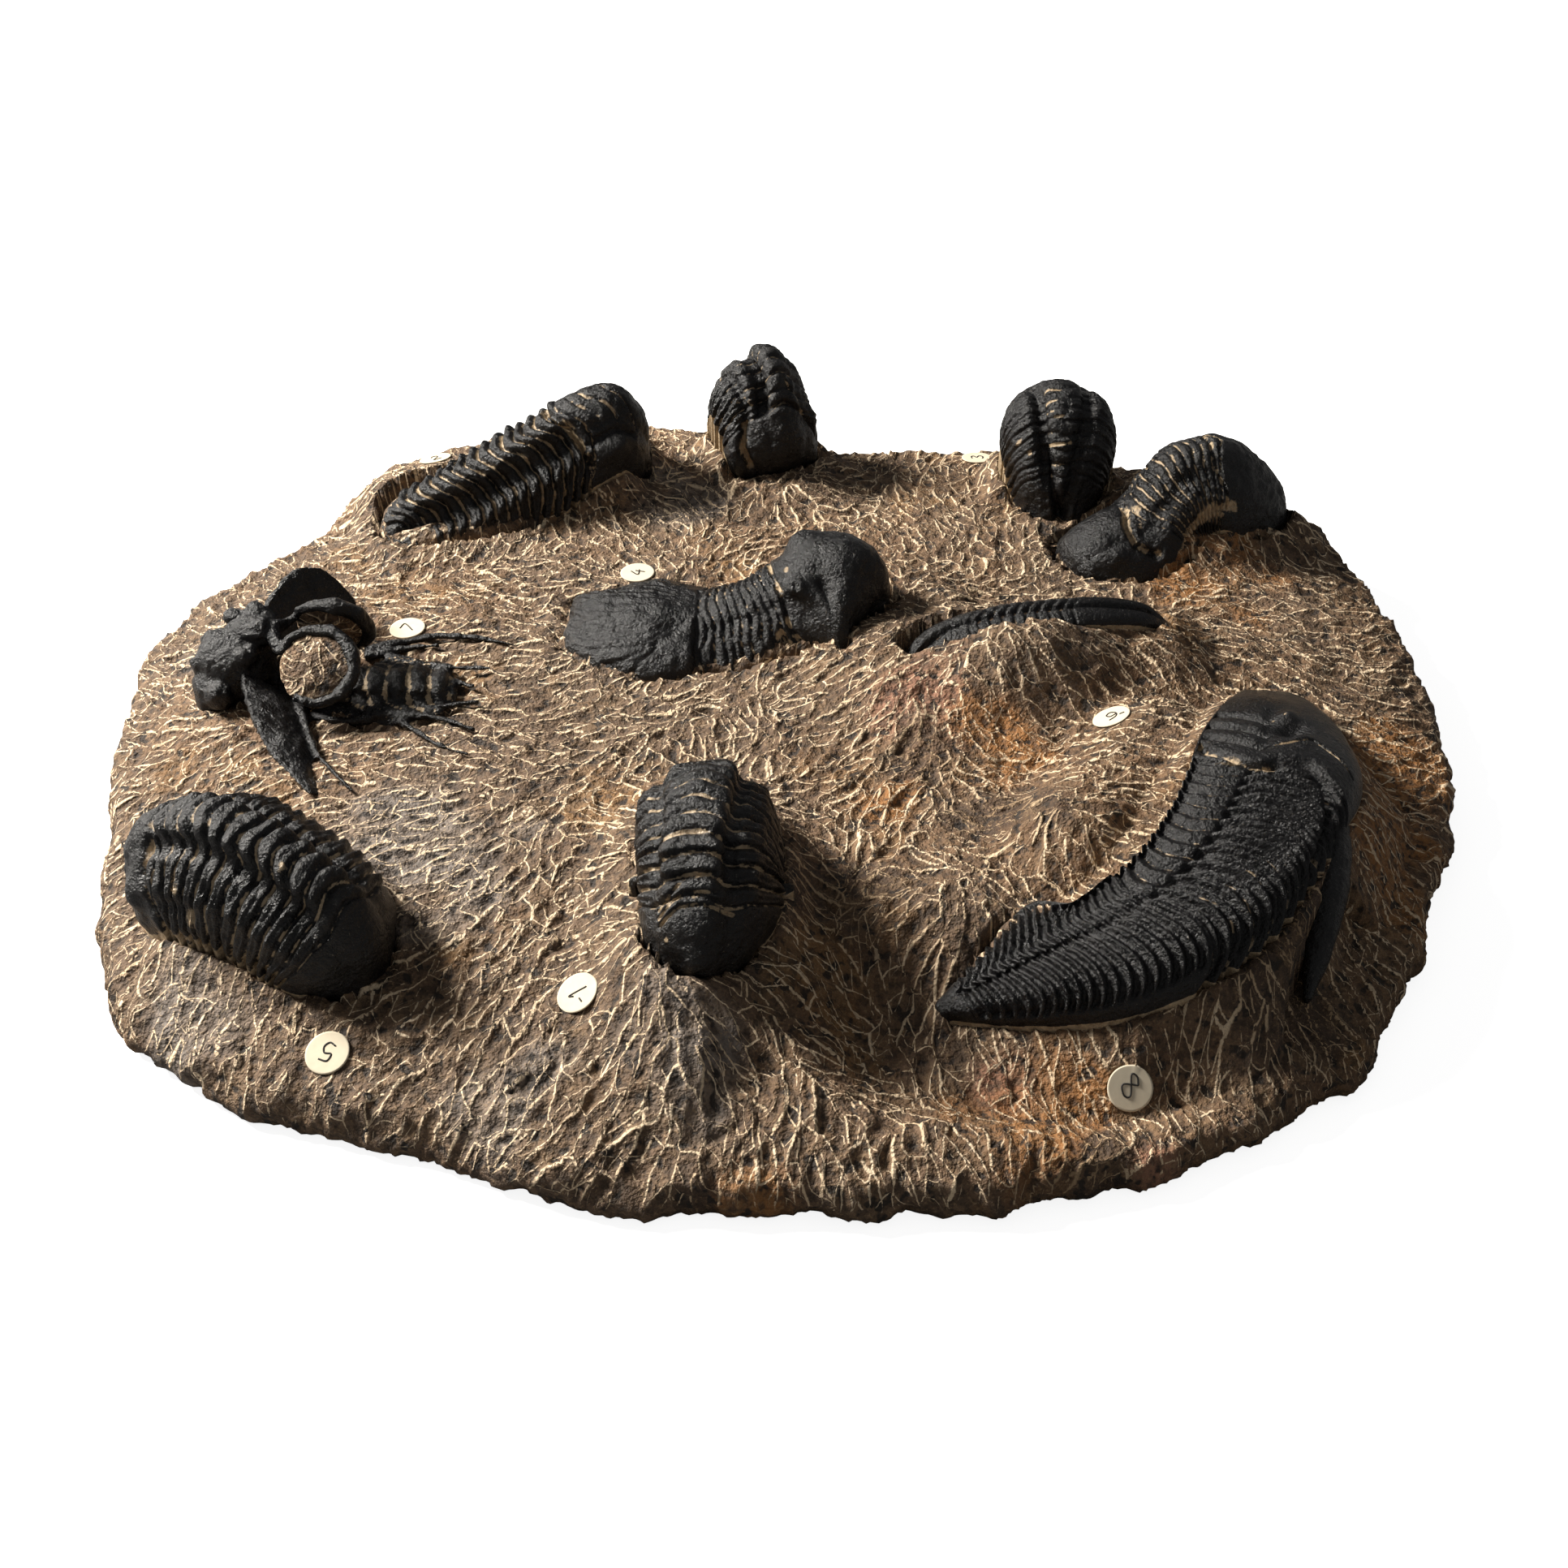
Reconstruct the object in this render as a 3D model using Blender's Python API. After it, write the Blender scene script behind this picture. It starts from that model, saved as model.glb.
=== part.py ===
"""Trilobite cluster plate: ten black fossils standing in one slab of limestone, with eight paper discs.

Sizes are in millimetres, and each mesh is scaled to metres as it is made. +X runs along the slab, +Y to
its back and +Z up. The slab's flat underside lies on z = 0, under the middle of its outline.
"""
import math

import bmesh
import bpy
import numpy as np
from mathutils import Matrix, Vector
from mathutils.bvhtree import BVHTree

MM = 0.001
GAP = 1.4  # how much wider than its fossil a pocket in the stone is

# Slab: radii of its outline every 15 degrees, anticlockwise from +X
RADII = (146.5, 149, 154, 142, 132, 117, 118, 132.5, 143, 148, 137, 148, 146, 143.5, 149, 144, 131,
         130, 127.5, 131.5, 136, 142, 140, 142)
RIM_FRONT = 6.5  # height of the upper rim edge
RIM_BACK = 15.0
RIM_FOOT = 3.5  # height of the lower rim edge, above which the rim bulges
UNDERCUT = 9.0  # how far the underside is set in from the rim
PLATEAU = 20.0  # height that the stone reaches well inside its rim
RISE = 28.0  # distance in which it does most of that rise
GRID = 16  # squares along each side of the slab's mesh

# Mounds left under and beside the fossils, and one hollow: x, y of both ends, half width of the top, reach
# of the slope, and lift
BANKS = (
    (-34, 90, -90, 66, 6, 18, 4),
    (-48, 104, -96, 82, 5, 16, 7),
    (0, 94, -10, 112, 10, 16, 3),
    (96, 66, 122, 76, 10, 16, 8),
    (6, 24, 22, 26, 12, 16, 4),
    (28, -1, 52, 4, 3, 26, 7),
    (48, 4, 78, 12, 3, 20, 7),
    (74, -20, 54, -50, 5, 18, 8),
    (54, -50, 32, -68, 4, 16, 6),
    (-16, -84, -15, -54, 9, 16, 5),
    (-21, -88, -19, -104, 2, 12, 5),
    (-110, 6, -114, -6, 8, 14, 2),
    (24, -95, 62, -102, 8, 16, -7),
)

# Paper discs: x, y of the middle of each
DISC_RADIUS = 4.0
DISC_THICK = 0.3
DISC_SIDES = 14
DISC_LIFT = 0.35  # least height of its underside over the stone
DISCS = ((-79.5, -97), (-36, -86), (68.5, -17), (60.5, -103.5), (51.5, 106), (-84.5, 21.5), (-33, 46),
         (-88, 90))

# Each trilobite is a run of cross sections from head to tail. A station gives the distance along the
# heading, the distance to its left, the height of the crest, the half width, the drop from the crest to
# the flank edges, and the roll in degrees. Shares are of the body's length, and of the half width. Where
# the stone hides the right flank, hidden gives the share of it that is there, and where it widens again.
TRILOBITES = {
    "cheirurid_back_left": dict(
        place=(-34, 93), heading=206, base=12, axis=0.40, lobe=3.0, lean=0.35, sweep=0.04,
        head=0.27, tail=0.90, segments=11, rib=1.8, tail_ribs=2, flat=1.0,
        stations=((0, 0, 27, 7, 8, 0), (2, 0, 36, 11, 14, 0), (9, 0, 44, 12.5, 18, 0),
                  (20, 0, 42.5, 13.5, 17, 0), (31, 0, 37, 13.5, 14, 0), (42, 0, 33, 13.5, 13, 0),
                  (53, 0, 29.5, 12.5, 12, 0), (63, 0, 26, 10.5, 10, 0), (68, 0, 22.5, 8, 7, 0),
                  (70, 0, 17, 4, 4, 0))),
    "enrolled_phacopid_back": dict(
        place=(1.5, 90), heading=115, base=8, axis=0.36, lobe=2.5, lean=0.4, sweep=0.0,
        head=0.25, tail=0.85, segments=10, rib=0.8, tail_ribs=3, flat=1.0,
        stations=((1, 0, 19, 9, 6, 8), (-1, 0, 28, 12, 10, 8), (1, 0, 37, 13.5, 13, 8),
                  (6.5, 0, 45, 13.5, 15, 8), (14, 0, 48.5, 13.5, 16, 8), (21, 0, 45, 13, 15, 8),
                  (26, 0, 36, 12, 13, 8), (27.5, 0, 26, 10, 10, 8), (26, 0, 18, 7, 6, 8))),
    "arched_phacopid_back": dict(
        place=(69, 108), heading=-90, base=8, axis=0.34, lobe=2.0, lean=0.5, sweep=0.0,
        head=0.2, tail=0.8, segments=11, rib=0.9, tail_ribs=3, flat=1.6,
        stations=((0, 0, 18, 8, 6, 0), (2, 0, 31, 12.5, 11, 0), (9, 0, 41, 14, 15, 0),
                  (19, 0, 46, 14.5, 17, 0), (28, 0, 44.5, 14.5, 17, 0), (34, 0, 37.5, 13.5, 15, 0),
                  (37.5, 0, 28, 11, 12, 0), (38.5, 0, 18, 7, 7, 0))),
    "arched_phacopid_right": dict(
        place=(66, 52.5), heading=21, base=8, axis=0.34, lobe=2.0, lean=0.5, sweep=0.0,
        head=0.33, tail=0.82, segments=11, rib=0.9, tail_ribs=3, flat=1.0,
        stations=((0, -1, 16, 7, 5, 0), (2, -2, 22, 11, 9, 0), (10, -2.5, 28, 13.5, 13, 0),
                  (18, -2, 30, 14, 14, 0), (24, 0, 33, 13.5, 14, 0), (30, 0, 38, 13.5, 15, 0),
                  (38, 0, 42, 14, 16, 0), (48, 0, 39.5, 14, 16, 0), (57, 0, 34, 13, 14, 0),
                  (62, 0, 27, 10, 10, 0), (63.5, 0, 17, 7, 6, 0))),
    "horned_trilobite": dict(
        place=(-114, -1), heading=2, base=11, axis=0.40, lobe=1.2, lean=0.5, sweep=0.05,
        head=0.40, tail=0.96, segments=7, rib=1.2, tail_ribs=0, flat=1.0,
        stations=((0, 0, 20, 5, 4, 0), (4, 0, 22, 6.5, 5, 0), (20, 0, 22, 8, 6, 0),
                  (28, 0, 24.5, 8.5, 6, 0), (38, 0, 22.5, 7, 5, 0), (45, 0, 20, 4, 3, 0),
                  (47, 0, 18.5, 2, 2, 0))),
    "fan_tailed_trilobite": dict(
        place=(0, 0), heading=None, base=10, axis=0.34, lobe=1.0, lean=0.6, sweep=0.0,
        head=0.36, tail=0.60, segments=9, rib=0.8, tail_ribs=0, flat=1.0,
        stations=((25, 26, 22, 6, 4, 0), (22.5, 26, 33, 11, 13, 0), (15, 25, 39.5, 16, 17, 0),
                  (6, 23.5, 39, 18.5, 19, 0), (0, 22, 35.5, 15.5, 17, 0), (-8, 20.5, 31, 14.5, 14, 0),
                  (-16, 20.5, 27.5, 15.5, 11, 0), (-22, 20.5, 27.5, 17.5, 9, 0), (-31, 21.5, 27.5, 19, 9, 0),
                  (-41, 24.5, 25, 15.5, 7, 0), (-47, 28.5, 22, 9, 4, 0), (-49, 29, 19, 4, 2, 0))),
    "half_buried_trilobite": dict(
        place=(0, 0), heading=None, base=16, axis=0.34, lobe=0.8, lean=1.0, sweep=0.0,
        head=0.12, tail=0.86, segments=11, rib=0.8, tail_ribs=0, flat=1.0,
        stations=((27, 4, 22, 4, 3, -20), (34, 9, 28, 8, 5, -28), (46, 12, 31, 10, 6, -30),
                  (58, 14, 31, 10, 6, -30), (70, 16.5, 29, 9, 5, -28), (79, 17.5, 25, 6, 4, -24),
                  (83, 18, 21, 3, 2, -20))),
    "large_dalmanitid": dict(
        place=(0, 0), heading=None, base=4, axis=0.18, lobe=2.6, lean=1.0, sweep=0.09,
        head=0.26, tail=0.62, segments=11, rib=1.0, tail_ribs=14, flat=1.25, hidden=(0.4, 0.66, 0.86),
        stations=((102.5, 0.5, 18, 9, 4, 12), (95, -17, 26, 17.5, 8, 12), (88.5, -33, 31, 24, 11, 12),
                  (83, -47, 33, 24.5, 12, 12), (76.5, -60, 34, 23.5, 13, 12),
                  (68, -71.5, 32.5, 22, 13, 11), (57, -79.5, 29, 19, 11.5, 7),
                  (45, -84.5, 24.5, 14, 10, 3), (35, -87.5, 18.5, 8, 7, 1), (28, -89, 13, 2.5, 3, 0))),
    "phacopid_front_left": dict(
        place=(-72.5, -84), heading=151, base=4, axis=0.34, lobe=2.0, lean=0.6, sweep=0.03,
        head=0.28, tail=0.84, segments=11, rib=0.9, tail_ribs=5, flat=1.0,
        stations=((0, 0, 14, 7, 6, -10), (1, 0, 25, 13, 12, -12), (9, 0, 36, 15.5, 18, -14),
                  (22, 0, 42, 16.5, 22, -15), (35, 0, 41.5, 16.5, 22, -15), (47, 0, 35, 15, 18, -13),
                  (55.5, 0, 26, 12, 13, -8), (58, 0, 14, 7, 6, -5))),
    "phacopid_front_centre": dict(
        place=(-16.5, -89.5), heading=88, base=8, axis=0.36, lobe=1.6, lean=0.8, sweep=0.03,
        head=0.33, tail=0.86, segments=11, rib=0.9, tail_ribs=4, flat=1.0,
        stations=((2, 0, 19, 7, 6, -8), (1, 0, 28, 12.5, 11, -10), (5, 0, 37, 14, 16, -12),
                  (14, 0, 43.5, 14, 19, -12), (24, 0, 44.5, 14, 19, -10), (34, 0, 41, 13.5, 17, -8),
                  (42, 0, 33, 11, 13, -4), (47, 0, 22, 7, 8, 0))),
}
COLUMNS = (-1.0, -0.62, None, 0.0, None, 0.62, 1.0)  # None stands for the furrow beside the middle lobe
HEAD_ROWS = 4
TAIL_ROWS = 3
POCKET_STEP = 4  # rows of a body for each row of its pocket, along the ribs
LEAST_STEP = 0.12  # between neighbouring points of a body's base
STEEPEST = math.radians(75)  # the most that a section leans with the slope of the crest

# Horned trilobite: lumps of its head as middle and radii, and its limbs as points with end radii
HEAD_LUMPS = (((-117, 0, 24), (9.5, 8.5, 10.5)), ((-113, 7, 28), (6.5, 6, 6.5)),
              ((-120, -3, 20), (6.5, 6, 8)))
HORN = (((-115, 2, 30), (-109, 0.5, 33), (-104, 0, 33)), 4.6, 3.6)
NEAR_COIL = ((-97, -6, 29.5), 8.0, -28)  # middle, radius, and tilt of its plane from upright in degrees
FAR_COIL = ((-96.5, 5.5, 30.5), 8.0, 8)
COIL_FROM = 160  # degrees round the coil's middle from +X, where it leaves the horn
COIL_TURN = -310
COIL_WIRE = 1.9
FAR_SPINES = (((-94, 3), (-83, 14), (-74, 17), (-62.5, 18)), ((-91, 2), (-79, 9), (-66, 9.5)),
              ((-80, 0), (-73, 2.5), (-64, 4.5)))
NEAR_SPINES = (((-100, -5), (-85, -10), (-74, -9), (-65, -10.5)), ((-92, -5), (-80, -12), (-68, -18)),
               ((-78, -2), (-71, -5), (-63, -6.5)), ((-108, -3), (-99.5, -16), (-94, -26), (-88, -31.5)))
SPINE_ROOT = 1.5
SPINE_TIP = 0.7
REST = 0.5  # clearance of a spine or blade that lies on the stone
# Thin blades of its cheeks: points on the free edge, then places in plan of the edge at the stone
NEAR_BLADE = (((-112.5, -8, 27), (-111.5, -15, 26), (-108, -22, 24.5), (-103, -27, 22), (-97, -32, 20)),
              ((-105, -7), (-104, -14), (-101, -20), (-98.5, -26), (-94.5, -32)))
FAR_BLADE = (((-112, 9, 31), (-110.5, 19, 34), (-107, 26, 34), (-101.5, 32, 30), (-98, 36, 25)),
             ((-108, 9), (-106, 17), (-102.5, 23), (-99.5, 28), (-97, 33)))
BLADE_ROOT = 1.8
BLADE_TIP = 1.0

# Cheek spine of the large trilobite: points on its ridge, then places in plan of its foot on the stone
CHEEK_SPINE = (((104, -36, 27.5), (106.5, -50, 25), (105.5, -64, 22), (101.5, -76, 18.5), (95.5, -87, 14.5)),
               ((106, -36), (108.5, -50), (107.5, -64), (103, -76), (96, -87.5)))
CHEEK_ROOT = 6.0
CHEEK_TIP = 1.5

CROSS = ((0, 0), (1, 0), (-1, 0), (0, 1), (0, -1))  # a place and its four neighbours
ABOVE = 100.0  # height clear of everything

STONE = (0.16, 0.11, 0.07)
FOSSIL = (0.012, 0.011, 0.011)
PAPER = (0.62, 0.55, 0.42)


def smooth(x):
    """Ease from 0 to 1"""
    x = np.clip(x, 0, 1)
    return x * x * (3 - 2 * x)


def outline(angle):
    """Radius of the slab's outline at an angle from +X, rounded through the radii"""
    step = np.asarray(angle) / (2 * math.pi) * len(RADII) % len(RADII)
    i = np.floor(step).astype(int)
    f = step - i
    before, here, after, beyond = (np.take(RADII, i + k, mode="wrap") for k in (-1, 0, 1, 2))
    return 0.5 * (2 * here + (after - before) * f + (2 * before - 5 * here + 4 * after - beyond) * f**2
                  + (3 * here - before - 3 * after + beyond) * f**3)


def rim_height(angle):
    return RIM_FRONT + (RIM_BACK - RIM_FRONT) * smooth(0.5 + 0.6 * np.sin(angle))


def ground(x, y):
    """Height of the stone's surface at x, y"""
    angle = np.arctan2(y, x)
    inside = np.maximum(outline(angle) - np.hypot(x, y), 0)
    rim = rim_height(angle)
    z = rim + (PLATEAU - rim) * (1 - np.exp(-inside / RISE))
    fade = smooth(inside / 15)
    for x0, y0, x1, y1, top, reach, lift in BANKS:
        run = np.array((x1 - x0, y1 - y0), float)
        t = np.clip(((x - x0) * run[0] + (y - y0) * run[1]) / (run @ run), 0, 1)
        away = np.hypot(x - x0 - t * run[0], y - y0 - t * run[1])
        z = z + lift * fade * smooth(1 - (away - top) / reach)
    return z


def through(points, shares):
    """Values at shares of the length of a smooth curve through points, whose first columns are places"""
    points = np.array(points, float)
    padded = np.vstack([2 * points[0] - points[1], points, 2 * points[-1] - points[-2]])
    t = np.linspace(0, 1, 24, endpoint=False)[:, None]
    curve = []
    for a, b, c, d in zip(padded, padded[1:], padded[2:], padded[3:]):
        curve.append(0.5 * (2 * b + (c - a) * t + (2 * a - 5 * b + 4 * c - d) * t**2
                            + (3 * b - a - 3 * c + d) * t**3))
    curve = np.vstack(curve + [points[-1:]])
    run = np.concatenate([[0], np.cumsum(np.linalg.norm(np.diff(curve[:, :3], axis=0), axis=1))])
    where = np.asarray(shares) * run[-1]
    return np.stack([np.interp(where, run, curve[:, k]) for k in range(curve.shape[1])], 1)


def steady(values, window=21):
    """Running mean of each column"""
    kernel = np.ones(window) / window
    padded = np.pad(values, ((window // 2, window // 2), (0, 0)), mode="edge")
    return np.stack([np.convolve(padded[:, k], kernel, mode="valid") for k in range(values.shape[1])], 1)


def frames(s, fine):
    """Stations, middle line, and directions ahead, up and to the right, at fine shares of a body's length"""
    line = through(s["stations"], fine)
    slope_z = np.gradient(line[:, 2])
    if s["heading"] is None:
        flat = np.stack([np.gradient(line[:, 0]), np.gradient(line[:, 1])], 1)
        forward = steady(flat / np.linalg.norm(flat, axis=1)[:, None])
        forward /= np.linalg.norm(forward, axis=1)[:, None]
        slope = np.arctan2(slope_z, np.linalg.norm(flat, axis=1))
        middle = line[:, :3]
    else:
        way = math.radians(s["heading"])
        forward = np.tile((math.cos(way), math.sin(way)), (len(fine), 1))
        slope = np.unwrap(np.arctan2(slope_z, np.gradient(line[:, 0])))
        middle = line[:, :3].copy()
        middle[:, 0] = s["place"][0] + line[:, 0] * math.cos(way) - line[:, 1] * math.sin(way)
        middle[:, 1] = s["place"][1] + line[:, 0] * math.sin(way) + line[:, 1] * math.cos(way)
    lean = np.clip(steady(s["lean"] * slope[:, None], 15), -STEEPEST, STEEPEST)
    right = np.stack([forward[:, 1], -forward[:, 0], 0 * slope], 1)
    ahead = np.stack([forward[:, 0], forward[:, 1], 0 * slope], 1)
    up = np.cos(lean) * np.array((0, 0, 1.0)) - np.sin(lean) * ahead
    roll = np.radians(line[:, 5:6])
    rolled_up = up * np.cos(roll) + right * np.sin(roll)
    rolled_right = right * np.cos(roll) - up * np.sin(roll)
    return line, middle, ahead, rolled_up, rolled_right


def rib_wave(s, t):
    """Rib shape from 0 in a furrow to 1 on a crest, and its depth, at shares of the length"""
    thorax = (t - s["head"]) / (s["tail"] - s["head"])
    wave = np.abs(np.sin(np.pi * thorax * s["segments"]))**0.7
    depth = s["rib"] * smooth(np.minimum(thorax, 1 - thorax) / 0.03)
    if s["tail_ribs"]:
        tail = (t - s["tail"]) / (0.96 - s["tail"])
        wave = np.where(tail > 0, np.abs(np.sin(np.pi * tail * s["tail_ribs"]))**0.8, wave)
        depth = depth + 0.5 * s["rib"] * smooth(np.minimum(tail / 0.05, (1 - tail) / 0.3))
    return wave, depth


def carapace(s, rows, columns, grow=0.0):
    """Upper surface of a trilobite at shares of its length and of its half width, as rows of points

    With grow, the surface has no ribs and lies outside the ribbed one by that much. The direction ahead
    at each row comes with it.
    """
    fine = np.linspace(0, 1, 241)
    line, middle, ahead, up, right = frames(s, fine)
    across, along = np.meshgrid(columns, rows)
    if "hidden" in s:
        share, widens, full = s["hidden"]
        share = share + (1 - share) * smooth((along - widens) / (full - widens))
        narrow = (share - s["axis"]) / (1 - s["axis"])
        across = np.where(across > s["axis"], s["axis"] + (across - s["axis"]) * narrow, across)
    side = np.clip((np.abs(across) - s["axis"]) / (1 - s["axis"]), 0, 1)
    window = smooth(np.minimum(along, 1 - along) / 0.12)
    swept = np.clip(along + s["sweep"] * side**1.5 * window, 0, 1)
    middle, up, right = (np.stack([np.interp(swept, fine, v[:, k]) for k in range(3)], -1)
                         for v in (middle, up, right))
    half_width = np.interp(swept, fine, line[:, 3]) + grow
    drop = np.interp(swept, fine, line[:, 4])
    wave, depth = rib_wave(s, along)
    carve = 0 * wave if grow else depth * (wave - 1)
    around = across * math.pi / 2
    out = (half_width + 0.5 * carve) * np.sin(around)
    fall = drop * (1 - np.cos(around))**s["flat"]
    lobe = s["lobe"] * np.sqrt(np.clip(1 - (across / s["axis"])**2, 0, 1))
    lobe = lobe * smooth(np.minimum(swept / 0.1, (1.02 - swept) / 0.12))
    rise = lobe + carve * np.sqrt(np.cos(around)) - fall + grow
    surface = middle + out[..., None] * right + rise[..., None] * up
    ahead = np.stack([np.interp(rows, fine, ahead[:, k]) for k in range(3)], 1)
    surface[0] -= grow * ahead[0]
    surface[-1] += grow * ahead[-1]
    return surface, ahead


def row_shares(s, every=1):
    """Shares of the length at which a body has sections: in the head, each furrow and rib, and the tail"""
    head = np.linspace(0, s["head"], HEAD_ROWS, endpoint=False)
    thorax = np.linspace(s["head"], s["tail"], 2 * s["segments"] + 1)[:-1]
    return np.concatenate([head, thorax[every // 2::every], np.linspace(s["tail"], 1, TAIL_ROWS)])


def with_base(surface, ahead, base):
    """Add to each row of a carapace the two points of its base, straight below its flank edges

    Where sections fan in under an arch, the points are spaced out so that the base doesn't fold.
    """
    feet = []
    for edge in (surface[:, 0], surface[:, -1]):
        foot = edge.copy()
        foot[:, 2] = base
        for i in range(1, len(foot)):
            step = (foot[i] - foot[i - 1]) @ ahead[i]
            foot[i] += max(LEAST_STEP - step, 0) * ahead[i]
        feet.append(foot[:, None])
    return np.concatenate([feet[0], surface, feet[1]], 1)


def loft(rings):
    """Closed mesh through rings of points, with both ends capped"""
    shape = bmesh.new()
    rows = [[shape.verts.new(p * MM) for p in ring] for ring in rings]
    for a, b in zip(rows, rows[1:]):
        for k in range(len(a)):
            shape.faces.new((a[k - 1], a[k], b[k], b[k - 1]))
    shape.faces.new(rows[0])
    shape.faces.new(rows[-1])
    bmesh.ops.recalc_face_normals(shape, faces=shape.faces)
    return shape


def new_object(name, shape, collection, material=None):
    mesh = bpy.data.meshes.new(name)
    shape.to_mesh(mesh)
    shape.free()
    thing = bpy.data.objects.new(name, mesh)
    collection.objects.link(thing)
    if material is None:
        thing.hide_render = True
        thing.display_type = "WIRE"
    else:
        mesh.materials.append(material)
    return thing


def new_material(name, colour, roughness):
    material = bpy.data.materials.new(name)
    material.use_nodes = True
    shader = material.node_tree.nodes["Principled BSDF"]
    shader.inputs["Base Color"].default_value = (*colour, 1)
    shader.inputs["Roughness"].default_value = roughness
    shader.inputs["Metallic"].default_value = 0
    return material


def new_collection(name):
    collection = bpy.data.collections.new(name)
    bpy.context.scene.collection.children.link(collection)
    return collection


def combine(thing, operation, collection):
    """Cut a collection of closed solids from an object, or join them to it"""
    change = thing.modifiers.new(operation.lower(), "BOOLEAN")
    change.operation = operation
    change.operand_type = "COLLECTION"
    change.collection = collection
    change.solver = "EXACT"
    change.use_self = True
    weld = thing.modifiers.new("weld", "WELD")
    weld.merge_threshold = 0.01 * MM


def make_slab(collection, material):
    """Square grid drawn out to the round outline, with a bulging rim and a flat underside set in from it"""
    shape = bmesh.new()
    bmesh.ops.create_grid(shape, x_segments=GRID, y_segments=GRID, size=1)
    for v in shape.verts:
        a, b = v.co.x, v.co.y
        reach = max(abs(a), abs(b))
        if abs(a) >= abs(b):
            angle = math.pi / 4 * (b / a if a else 0) + (math.pi if a < 0 else 0)
        else:
            angle = math.pi / 2 - math.pi / 4 * a / b + (math.pi if b < 0 else 0)
        radius = reach * (float(outline(angle)) - 2)
        x, y = radius * math.cos(angle), radius * math.sin(angle)
        v.co = Vector((x, y, float(ground(x, y)))) * MM
    edge = [e for e in shape.edges if e.is_boundary]
    for inset, share in ((0, 0.6), (1.5, 0.0), (UNDERCUT, None)):
        extruded = bmesh.ops.extrude_edge_only(shape, edges=edge)["geom"]
        edge = [e for e in extruded if isinstance(e, bmesh.types.BMEdge)]
        for v in {v for e in edge for v in e.verts}:
            angle = math.atan2(v.co.y, v.co.x)
            radius = float(outline(angle)) - inset
            height = 0 if share is None else RIM_FOOT + (float(rim_height(angle)) - RIM_FOOT) * share
            v.co = Vector((radius * math.cos(angle), radius * math.sin(angle), height)) * MM
    bmesh.ops.contextual_create(shape, geom=edge)
    bmesh.ops.triangulate(shape, faces=shape.faces)
    bmesh.ops.recalc_face_normals(shape, faces=shape.faces)
    return new_object("matrix_slab", shape, collection, material)


def columns_of(s):
    """Shares of the half width with the furrows filled in"""
    middle = len(COLUMNS) // 2
    return [c if c is not None else math.copysign(s["axis"], i - middle) for i, c in enumerate(COLUMNS)]


def make_trilobite(name, s, collection, material, pockets):
    """The fossil itself, and the slightly larger solid that its pocket is cut with"""
    body = carapace(s, row_shares(s), columns_of(s))
    fossil = new_object(name, loft(with_base(*body, s["base"])), collection, material)
    plain = carapace(s, row_shares(s, every=POCKET_STEP), columns_of(s), grow=GAP)
    new_object(name + "_pocket", loft(with_base(*plain, s["base"] - GAP)), pockets)
    return fossil


def tube(points, root, tip, sides=6):
    """Tapered round rod through points, as a closed mesh"""
    shares = np.linspace(0, 1, 2 * len(points) - 2)
    line = [Vector(p) for p in through(points, shares)]
    ways = [(after - before).normalized() for before, after in zip([line[0]] + line, line[1:] + [line[-1]])]
    side = ways[0].orthogonal().normalized()
    rings = []
    for point, way, share in zip(line, ways, shares):
        side = (side - way * side.dot(way)).normalized()
        other = way.cross(side)
        size = float(root + (tip - root) * share)
        rings.append(np.array([point + size * (math.cos(a) * side + math.sin(a) * other)
                               for a in np.arange(sides) * 2 * math.pi / sides]))
    return loft(rings)


def lying(places, surface, reach, lift):
    """Points over places in plan, at a lift over the highest stone within reach of each"""
    points = []
    for x, y in places:
        spots = [(x + reach * i, y + reach * j, ABOVE) for i, j in CROSS]
        hits = [surface.ray_cast(Vector(spot) * MM, Vector((0, 0, -1)))[0] for spot in spots]
        points.append((x, y, max(hit.z for hit in hits) / MM + lift))
    return points


def blade(free_edge, foot, root, tip, hollow):
    """Thin curved plate between two edges, as a closed mesh"""
    shares = np.linspace(0, 1, 2 * len(free_edge) - 2)
    top = through(free_edge, shares)
    foot = through(foot, shares)
    face = np.stack([top, 0.5 * (top + foot), foot], 1)
    across = np.cross(np.gradient(face, axis=0), np.gradient(face, axis=1))
    across /= np.linalg.norm(across, axis=2, keepdims=True)
    face[:, 1] += hollow * np.sin(np.pi * shares)[:, None] * across[:, 1]
    half = 0.5 * (root + (tip - root) * shares)[:, None, None] * across
    half[:, :, 2] = 0
    return loft(np.concatenate([face + half, (face - half)[:, ::-1]], 1))


def ellipsoid(middle, radii):
    shape = bmesh.new()
    place = Matrix.Translation(Vector(middle) * MM) @ Matrix.Diagonal((*(Vector(radii) * MM), 1))
    bmesh.ops.create_uvsphere(shape, u_segments=10, v_segments=6, radius=1, matrix=place)
    return shape


def coil_points(coil):
    """Points of a C-shaped coil, which starts at the horn and turns back under itself"""
    middle, radius, tilt = coil
    tilt = math.radians(tilt)
    points = []
    for share in np.linspace(0, 1, 6):
        angle = math.radians(COIL_FROM + COIL_TURN * share)
        size = radius * (1 - 0.2 * share)
        height = size * math.sin(angle)
        points.append((middle[0] + size * math.cos(angle), middle[1] - height * math.sin(tilt),
                       middle[2] + height * math.cos(tilt)))
    return points


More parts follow.
